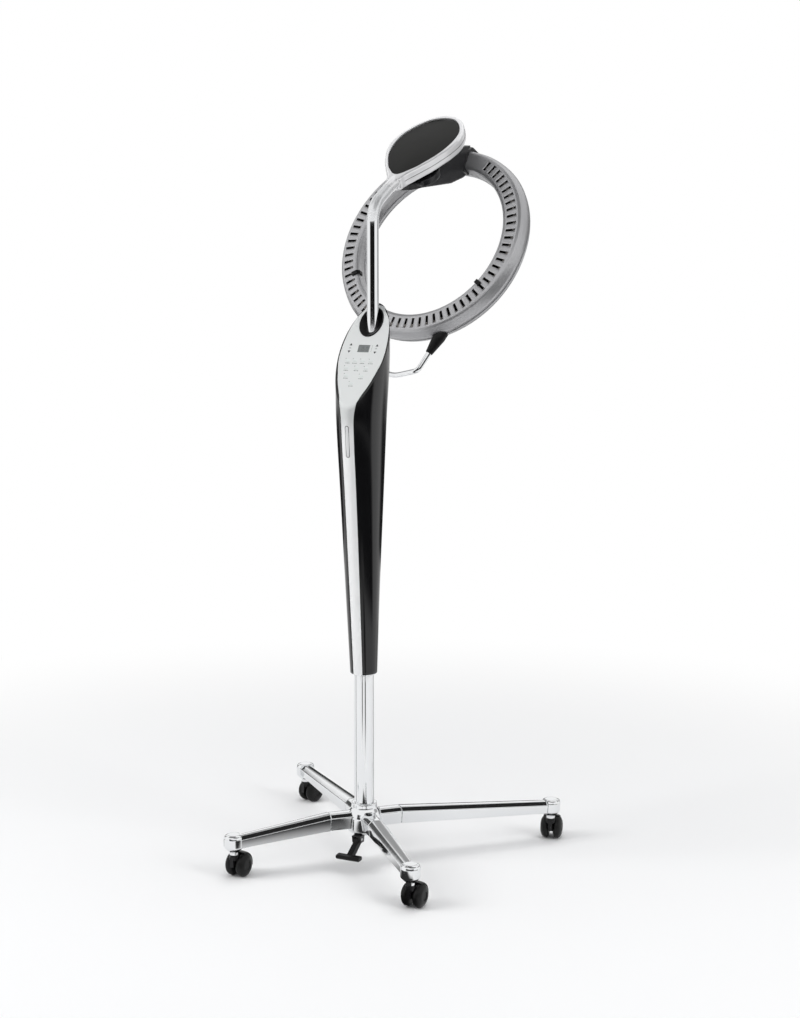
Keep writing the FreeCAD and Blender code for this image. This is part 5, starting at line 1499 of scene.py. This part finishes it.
# %% Repeat the segments round the axis with Geometry Nodes
def repeat_tree():
    """Two drawn segments turned round Z. Its inputs are counts, step and the first angle."""
    tree = bpy.data.node_groups.new("turned_segments", "GeometryNodeTree")
    for label, kind in (("Geometry", "Geometry"), ("Slotted", "Object"), ("Plain", "Object"),
                        ("Slots", "Int"), ("Plains", "Int"), ("Step", "Float"), ("First", "Float"),
                        ("Material", "Material")):
        tree.interface.new_socket(label, in_out="INPUT", socket_type="NodeSocket" + kind)
    tree.interface.new_socket("Geometry", in_out="OUTPUT", socket_type="NodeSocketGeometry")
    start = tree.nodes.new("NodeGroupInput")
    end = tree.nodes.new("NodeGroupOutput")

    def add(kind, settings, **links):
        """A node with its settings and its sockets, by name or, as n0, by number."""
        made = tree.nodes.new(kind)
        for key, value in settings.items():
            setattr(made, key, value)
        for key, value in links.items():
            socket = made.inputs[int(key[1:]) if key.startswith("n") else key]
            if isinstance(value, bpy.types.NodeSocket):
                tree.links.new(value, socket)
            else:
                socket.default_value = value
        return made

    def turned_copies(source, count, offset):
        """As many copies of an object as count, the first one so many steps on."""
        points = add("GeometryNodeMeshLine", {}, Count=count, Offset=(0.0, 0.0, 0.0))
        index = add("GeometryNodeInputIndex", {})
        number = add("ShaderNodeMath", {"operation": "ADD"}, n0=index.outputs[0], n1=offset)
        angle = add("ShaderNodeMath", {"operation": "MULTIPLY_ADD"}, n0=number.outputs[0],
                    n1=start.outputs["Step"], n2=start.outputs["First"])
        back = add("ShaderNodeMath", {"operation": "MULTIPLY"}, n0=angle.outputs[0], n1=-math.pi / 180)
        turn_by = add("ShaderNodeCombineXYZ", {}, Z=back.outputs[0])
        shape = add("GeometryNodeObjectInfo", {}, Object=source)
        return add("GeometryNodeInstanceOnPoints", {}, Points=points.outputs["Mesh"],
                   Instance=shape.outputs["Geometry"], Rotation=turn_by.outputs[0])

    with_slots = turned_copies(start.outputs["Slotted"], start.outputs["Slots"], 0.0)
    without = turned_copies(start.outputs["Plain"], start.outputs["Plains"], start.outputs["Slots"])
    both = add("GeometryNodeJoinGeometry", {})
    tree.links.new(with_slots.outputs[0], both.inputs[0])
    tree.links.new(without.outputs[0], both.inputs[0])
    real = add("GeometryNodeRealizeInstances", {}, Geometry=both.outputs[0])
    merged = add("GeometryNodeMergeByDistance", {}, Geometry=real.outputs[0], Distance=WELD)
    painted = add("GeometryNodeSetMaterial", {}, Geometry=merged.outputs[0],
                  Material=start.outputs["Material"])
    tree.links.new(painted.outputs[0], end.inputs[0])
    return tree


def grown(name, tree, **values):
    """Runs a tree on an empty mesh and hands back what it made as a plain mesh."""
    holder = placed(name, bpy.data.meshes.new(name))
    modifier = holder.modifiers.new("grow", "NODES")
    modifier.node_group = tree
    for item in tree.interface.items_tree:
        if item.in_out == "INPUT" and item.name in values:
            modifier[item.identifier] = values[item.name]
    return made_plain(holder)


def walled(name, mesh, body, nodes, finish):
    """An open skin that faces outwards, given a wall inwards by a live Solidify, black inside and on its cut
    edges as painted shade.
    """
    made = settle(name, mesh, finish, body, nodes)
    # Painted shade: the inside and the cut edges of the shell are black, for the shade inside the hollow
    # ring.
    made.data.materials.append(MATERIALS["black_steel"])
    wall = made.modifiers.new("wall", "SOLIDIFY")
    wall.thickness = WALL * MM
    wall.offset = -1.0
    wall.use_even_offset = True
    wall.material_offset = 1
    wall.material_offset_rim = 1
    return made


# %% The front shell
FIRST_SLOT = 28.6
front_mesh = grown("front_grown", repeat_tree(), Slotted=slotted_segment, Plain=plain_segment,
                   Slots=SLOT_COUNT, Plains=STEPS_ROUND - SLOT_COUNT, Step=SLOT_STEP,
                   First=FIRST_SLOT, Material=MATERIALS["ring_silver_paint"])
for helper in (slotted_segment, plain_segment):
    bpy.data.objects.remove(helper)
front_mesh.transform(RING)
front = walled("ring_front_skin", front_mesh, "rotor", ["ring_front_shell"], "ring_silver_paint")
ring_middle = RING @ Vector((0, 0, -0.03))
probe = max(front.data.polygons, key=lambda p: p.center.z)
print("front faces:", len(front.data.polygons))
print("highest face looks out:", probe.normal.dot(probe.center - ring_middle) > 0)

# %% [markdown]
# The back shell is plain, so its profile is turned. It is drawn as a solid, whose first
# and last face are left out to keep it open. A narrow black band round the joint stands
# for the shells' parting line.

# %% Back shell, parting line and clips
RING_SIDES = 288
PARTING = ((232.2, -30.35), (232.58, -30.35), (232.58, -29.65), (232.2, -29.65))
back_line = softened(RING_BACK, [0, 10, 12, 12, 12, 12, 10, 0], 5, closed=False)
back_verts, back_faces = turned(back_line, RING_SIDES)
back_mesh = mesh_of("ring_back", (back_verts, back_faces[:-2]), RING)
walled("ring_back_skin", back_mesh, "rotor", ["ring_back_shell"], "ring_silver_paint")
parting_band = turned(PARTING, RING_SIDES, closed=True)
piece("ring_parting_line", parting_band, "black_moulding", "rotor", [], RING, 30.0)
moulded("lip_clips", "black_moulding", "rotor", 0.5, 3)

# %% [markdown]
# ## The handle
# The handle is a round bar bent to a bow. It leaves its two feet straight, turns inwards
# in a tight bend, and closes with a shallow curve that bulges a little at the front. One
# half of its path is worked out, and the other half mirrors it.

# %% Handle
# Points are (to the side, away from the ring's axis).
HANDLE_FOOT = Vector((86, -218.5))
HANDLE_BEND = Vector((57.5, -300))
HANDLE_SHOULDER = Vector((40, -306.3))
HANDLE_FLANK = Vector((16, -312.7))
HANDLE_TIP = -315.0
HANDLE_RADIUS = 5.7
IN_FOOT = 27.0
BEND_REACH = 9.0
HANDLE_FRAME = RING @ spun(-1.4) @ slid(z=-30.0)

away = (HANDLE_BEND - HANDLE_FOOT).normalized()
start_at = HANDLE_FOOT + away * IN_FOOT
turn_in = HANDLE_BEND - away * BEND_REACH
turn_out = HANDLE_BEND + (HANDLE_SHOULDER - HANDLE_BEND).normalized() * BEND_REACH
half_path = [start_at.lerp(turn_in, i / 10) for i in range(10)]
for i in range(11):
    t = i / 10
    half_path.append(turn_in * (1 - t) ** 2 + HANDLE_BEND * 2 * t * (1 - t) + turn_out * t * t)
half_path += [HANDLE_FLANK.lerp(turn_out, 1 - i / 8) for i in range(1, 8)] + [HANDLE_FLANK]
crown = []
for i in range(1, 12):
    share = 1 - i / 6
    crown.append(Vector((HANDLE_FLANK.x * share, HANDLE_TIP + (HANDLE_FLANK.y - HANDLE_TIP) * share ** 2)))
path = half_path + crown + [Vector((-p.x, p.y)) for p in reversed(half_path)]
handle = swept([(p.x, p.y, 0.0) for p in path], HANDLE_RADIUS, 40, side=(0.0, 0.0, 1.0))
piece("handle_skin", handle, "chrome_tube", "rotor", ["handle_bar"], HANDLE_FRAME, 40.0)
moulded("handle_feet", "black_moulding", "rotor", 0.7, 4)

# %% [markdown]
# ## The studio
# A white room with a pale floor that keeps the shadow. The world is plain white to the
# camera, to mirrors and to glass, and dimmer to everything else, so the lamps model the
# shapes. Farther out the floor fades to the same plain white, so no horizon shows.

# %% World
scene = bpy.context.scene
scene.view_settings.view_transform = "Standard"
world = bpy.data.worlds.new("white_room")
scene.world = world
world.use_nodes = True
sky = world.node_tree
sky.nodes.clear()


def wire(tree, kind, settings, values):
    """A node of a world or a stage material: its type, settings, and values or links."""
    made = tree.nodes.new("ShaderNode" + kind)
    for key, value in settings.items():
        setattr(made, key, value)
    for key, value in values.items():
        if isinstance(value, bpy.types.NodeSocket):
            tree.links.new(value, made.inputs[key])
        else:
            made.inputs[key].default_value = value
    return made


def seen_directly(tree):
    """1 for rays from the camera, a mirror or glass, 0 for the rest."""
    rays = wire(tree, "LightPath", {}, {})
    first = wire(tree, "Math", {"operation": "MAXIMUM"},
                 {0: rays.outputs["Is Camera Ray"], 1: rays.outputs["Is Glossy Ray"]})
    return wire(tree, "Math", {"operation": "MAXIMUM"},
                {0: first.outputs[0], 1: rays.outputs["Is Transmission Ray"]}).outputs[0]


AMBIENT = 0.42
shown = seen_directly(sky)
bright = wire(sky, "Background", {}, {"Color": (1, 1, 1, 1), "Strength": 1.0})
dim = wire(sky, "Background", {}, {"Color": (0.97, 0.98, 1.0, 1), "Strength": AMBIENT})
choose = wire(sky, "MixShader", {}, {0: shown, 1: dim.outputs[0], 2: bright.outputs[0]})
wire(sky, "OutputWorld", {}, {"Surface": choose.outputs[0]})
print("the world lights at", AMBIENT, "of what the camera sees")

# %% Floor
FLOOR_HALF = 30.0
FLOOR_GREY = (0.93, 0.93, 0.93, 1)
FADE_FROM = 0.7
FADE_TO = 2.2
floor_mesh = bpy.data.meshes.new("floor")
floor_corners = [(x * FLOOR_HALF, y * FLOOR_HALF, 0) for x, y in ((-1, -1), (1, -1), (1, 1), (-1, 1))]
floor_mesh.from_pydata(floor_corners, [], [(0, 1, 2, 3)])
floor = placed("floor", floor_mesh)
paint = bpy.data.materials.new("floor_white")
paint.use_nodes = True
ground = paint.node_tree
ground.nodes.clear()
spot_on_floor = wire(ground, "TexCoord", {}, {}).outputs["Object"]
distance = wire(ground, "VectorMath", {"operation": "LENGTH"}, {0: spot_on_floor}).outputs["Value"]
fade = wire(ground, "MapRange", {"interpolation_type": "SMOOTHSTEP"},
            {"Value": distance, "From Min": FADE_FROM, "From Max": FADE_TO}).outputs[0]
seen = wire(ground, "Math", {"operation": "MULTIPLY"}, {0: seen_directly(ground), 1: fade}).outputs[0]
matte = wire(ground, "BsdfDiffuse", {}, {"Color": FLOOR_GREY})
glow = wire(ground, "Emission", {}, {"Color": (1, 1, 1, 1), "Strength": 1.0})
mixed = wire(ground, "MixShader", {}, {0: seen, 1: matte.outputs[0], 2: glow.outputs[0]})
wire(ground, "OutputMaterial", {}, {"Surface": mixed.outputs[0]})
floor_mesh.materials.append(paint)
print("floor reaches", FLOOR_HALF, "m each way")

# %% [markdown]
# ## Lamps
# Three large soft lamps: a key from the left, a weaker fill from the right and one from
# above. Mirrors don't see them, since a lamp's hard white square would cut through the
# reflections on the column and the legs.

# %% Lamps
# Each lamp has its place, what it is aimed at, its width and height in metres, and its watts.
LAMPS = {
    "key_left": ((-2.6, -2.4, 3.0), (0, 0, 0.9), 1.8, 2.4, 85),
    "fill_right": ((3.2, -0.6, 2.2), (0, 0.1, 0.9), 1.2, 2.4, 40),
    "top_soft": ((0.2, 0.6, 4.0), (0, 0.1, 0.5), 2.6, 2.6, 48),
}
for lamp_name, (spot, aim, wide, tall, watts) in LAMPS.items():
    light = bpy.data.lights.new(lamp_name, "AREA")
    light.shape = "RECTANGLE"
    light.size = wide
    light.size_y = tall
    light.energy = watts
    lamp = placed(lamp_name, light)
    lamp.location = spot
    lamp.rotation_mode = "QUATERNION"
    lamp.rotation_quaternion = (Vector(aim) - Vector(spot)).to_track_quat("-Z", "Y")
    lamp.visible_glossy = False
print("lamps:", len(LAMPS))

# %% [markdown]
# ## Grey flags
# Chrome only looks like chrome when it has something dark to show between the bright
# parts. So soft grey sheets hang round the object where only mirrors see them. Each one
# glows with a grey that is stored at its points and fades to the white of the room at its
# edges, so its reflection has no hard end. One function makes any flag from two others:
# where a point lies and how bright it is there, at two shares from 0 to 1.

# %% One flag
def soft(value, low, high):
    """0 below low, 1 above high, and a smooth step between them."""
    share = min(1.0, max(0.0, (value - low) / (high - low)))
    return share * share * (3 - 2 * share)


def flag(name, spot, shade, across=32, rise=24):
    """A grey sheet that only mirrors see: spot and shade are functions of two shares."""
    spots = [(i / across, j / rise) for j in range(rise + 1) for i in range(across + 1)]
    row = across + 1
    faces = [(j * row + i, j * row + i + 1, (j + 1) * row + i + 1, (j + 1) * row + i)
             for j in range(rise) for i in range(across)]
    mesh = bpy.data.meshes.new(name)
    mesh.from_pydata([spot(u, v) for u, v in spots], [], faces)
    tone = mesh.color_attributes.new("tone", "FLOAT_COLOR", "POINT")
    for item, (u, v) in zip(tone.data, spots):
        level = shade(u, v)
        item.color = (level, level, level, 1.0)
    made = placed(name, mesh)
    grey = bpy.data.materials.new(name)
    grey.use_nodes = True
    grey.node_tree.nodes.clear()
    level = wire(grey.node_tree, "Attribute", {"attribute_name": "tone"}, {}).outputs["Color"]
    out = wire(grey.node_tree, "Emission", {}, {"Color": level, "Strength": 1.0})
    wire(grey.node_tree, "OutputMaterial", {}, {"Surface": out.outputs[0]})
    mesh.materials.append(grey)
    for kind_of_ray in ("camera", "diffuse", "shadow", "transmission"):
        setattr(made, "visible_" + kind_of_ray, False)


print("ready to hang flags")

# %% [markdown]
# Most flags bend round the column. Curtains stand like parts of a drum and give the
# column and the arm their dark lines. Pools lie on the floor like parts of a ring and
# darken the undersides and the legs' sides. Turns are counted from the camera, anticlockwise
# seen from above, and lengths are in metres.

# %% Curtains and pools
CAMERA_SPOT = Vector((1.66412, -3.30872, 1.35068))
HOME = math.degrees(math.atan2(CAMERA_SPOT.y, CAMERA_SPOT.x))
POOL_HEIGHT = 0.003
# Middle and half-width in degrees, radius, low, high, darkness, soft sides in degrees, soft foot and top.
CURTAINS = {
    "flag_behind_camera": (-8, 46, 4.6, 0.0, 2.0, 0.01, 6, 0.05, 0.35),
    "flag_front_low": (17, 66, 4.5, 0.0, 0.9, 0.01, 8, 0.05, 0.15),
    "flag_right": (118, 32, 3.4, 0.9, 3.2, 0.4, 12, 0.2, 0.6),
    "flag_left": (-138, 12, 3.4, 0.0, 2.6, 0.08, 4, 0.1, 0.5),
    "flag_horizon": (180, 62, 3.1, 0.0, 0.8, 0.03, 14, 0.05, 0.3),
    "flag_back_high": (180, 34, 3.0, 1.55, 2.9, 0.35, 12, 0.3, 0.4),
}
# Middle and half-width in degrees, near and far edge, darkness, soft sides in degrees, soft ends.
POOLS = {
    "floor_dark": (17, 66, 1.6, 4.6, 0.01, 8, 0.35),
    "floor_band_left": (-19, 6, 0.85, 2.1, 0.05, 3, 0.45),
    "floor_band_right": (15, 7, 0.7, 2.1, 0.05, 3, 0.55),
    "floor_edge_left": (-104, 5, 0.25, 2.2, 0.12, 3, 0.1),
    "floor_edge_right": (140, 16, 0.25, 2.2, 0.45, 8, 0.1),
}


def bent_flag(name, middle, half, low, high, dark, soft_side, soft_low, soft_high, place):
    """A flag bent round the column, darkest in its middle. place gives a point of it."""
    def level(v):
        return low + (high - low) * v

    def spot(u, v):
        return place(math.radians(HOME + middle + half * (2 * u - 1)), level(v))

    def shade(u, v):
        side = soft(half * (1 - abs(2 * u - 1)), 0.0, soft_side)
        ends = soft(level(v) - low, 0.0, soft_low) * soft(high - level(v), 0.0, soft_high)
        return 1 - (1 - dark) * side * ends

    flag(name, spot, shade)


def curtain(name, middle, half, radius, low, high, dark, *soft_edges):
    """Part of an upright drum."""
    def place(turn, height):
        return (radius * math.cos(turn), radius * math.sin(turn), height)

    bent_flag(name, middle, half, low, high, dark, *soft_edges, place)


def pool(name, middle, half, near, far, dark, soft_side, soft_ends):
    """Part of a ring on the floor."""
    def place(turn, distance):
        return (distance * math.cos(turn), distance * math.sin(turn), POOL_HEIGHT)

    bent_flag(name, middle, half, near, far, dark, soft_side, soft_ends, soft_ends, place)


for flag_name, values in CURTAINS.items():
    curtain(flag_name, *values)
for flag_name, values in POOLS.items():
    pool(flag_name, *values)
print("curtains:", len(CURTAINS), "pools:", len(POOLS))

# %% [markdown]
# One strip lies on the floor along a short leg and gives its side something dark to show.
# Two round ceilings hang high overhead for the surfaces that look up.

# %% Strip and ceilings
STRIP_HEIGHT = 0.0035
STRIP_DEPTH = 0.97
# Centre, radius, darkness, and the share of the radius where the soft edge starts.
CEILINGS = {
    "flag_ceiling": ((1.7, 0.0, 4.05), 2.4, 0.02, 0.8),
    "flag_ceiling_left": ((-1.5, 0.6, 4.1), 1.9, 0.25, 0.6),
}


def strip(name, heading, start, end, near, far):
    """A band on the floor beside a leg, light next to the leg and dark farther out."""
    turn = math.radians(heading)
    along = Vector((math.cos(turn), math.sin(turn)))
    side = Vector((-along.y, along.x))

    def spot(u, v):
        place = along * (start + (end - start) * u) + side * (near + (far - near) * v)
        return (place.x, place.y, STRIP_HEIGHT)

    def shade(u, v):
        ends = soft(u, 0.0, 0.12) * soft(1 - u, 0.0, 0.2)
        return 1 - ends * (STRIP_DEPTH * soft(v, -0.1, 0.32) * soft(1 - v, 0.0, 0.15))

    flag(name, spot, shade)


def ceiling(name, centre, radius, dark, edge):
    """A round grey sheet overhead, darkest inside its soft edge."""
    x, y, z = centre

    def spot(u, v):
        turn = 2 * math.pi * u
        return (x + radius * v * math.cos(turn), y + radius * v * math.sin(turn), z)

    flag(name, spot, lambda u, v: dark + (1 - dark) * soft(v, edge, 1.0), 48, 16)


leg_heading = 90.0 - CORNERS["operator_left"][0]
strip("floor_along_leg", leg_heading, -0.04, 0.31, 0.03, 0.5)
for flag_name, values in CEILINGS.items():
    ceiling(flag_name, *values)
print("the strip runs at", round(leg_heading, 1), "degrees")

# %% [markdown]
# ## Camera
# The camera stands on the operator's side, a little to the right, and looks slightly
# down. Its three axes are written out, because they say exactly where it looks.

# %% Camera
LENS_LENGTH = 80.705
RIGHT = Vector((0.90247, 0.43077, 0.0))
UP = Vector((-0.06673, 0.13979, 0.98793))
LOOK = Vector((-0.42557, 0.89157, -0.15490))
camera_data = bpy.data.cameras.new("camera")
camera_data.sensor_fit = "HORIZONTAL"
camera_data.sensor_width = 36.0
camera_data.lens = LENS_LENGTH
camera_data.clip_end = 200.0
camera = placed("camera", camera_data)
camera.matrix_world = Matrix.Translation(CAMERA_SPOT) @ Matrix((RIGHT, UP, -LOOK)).transposed().to_4x4()
scene.camera = camera
print("camera stands", round(CAMERA_SPOT.length, 2), "m from the column's foot")
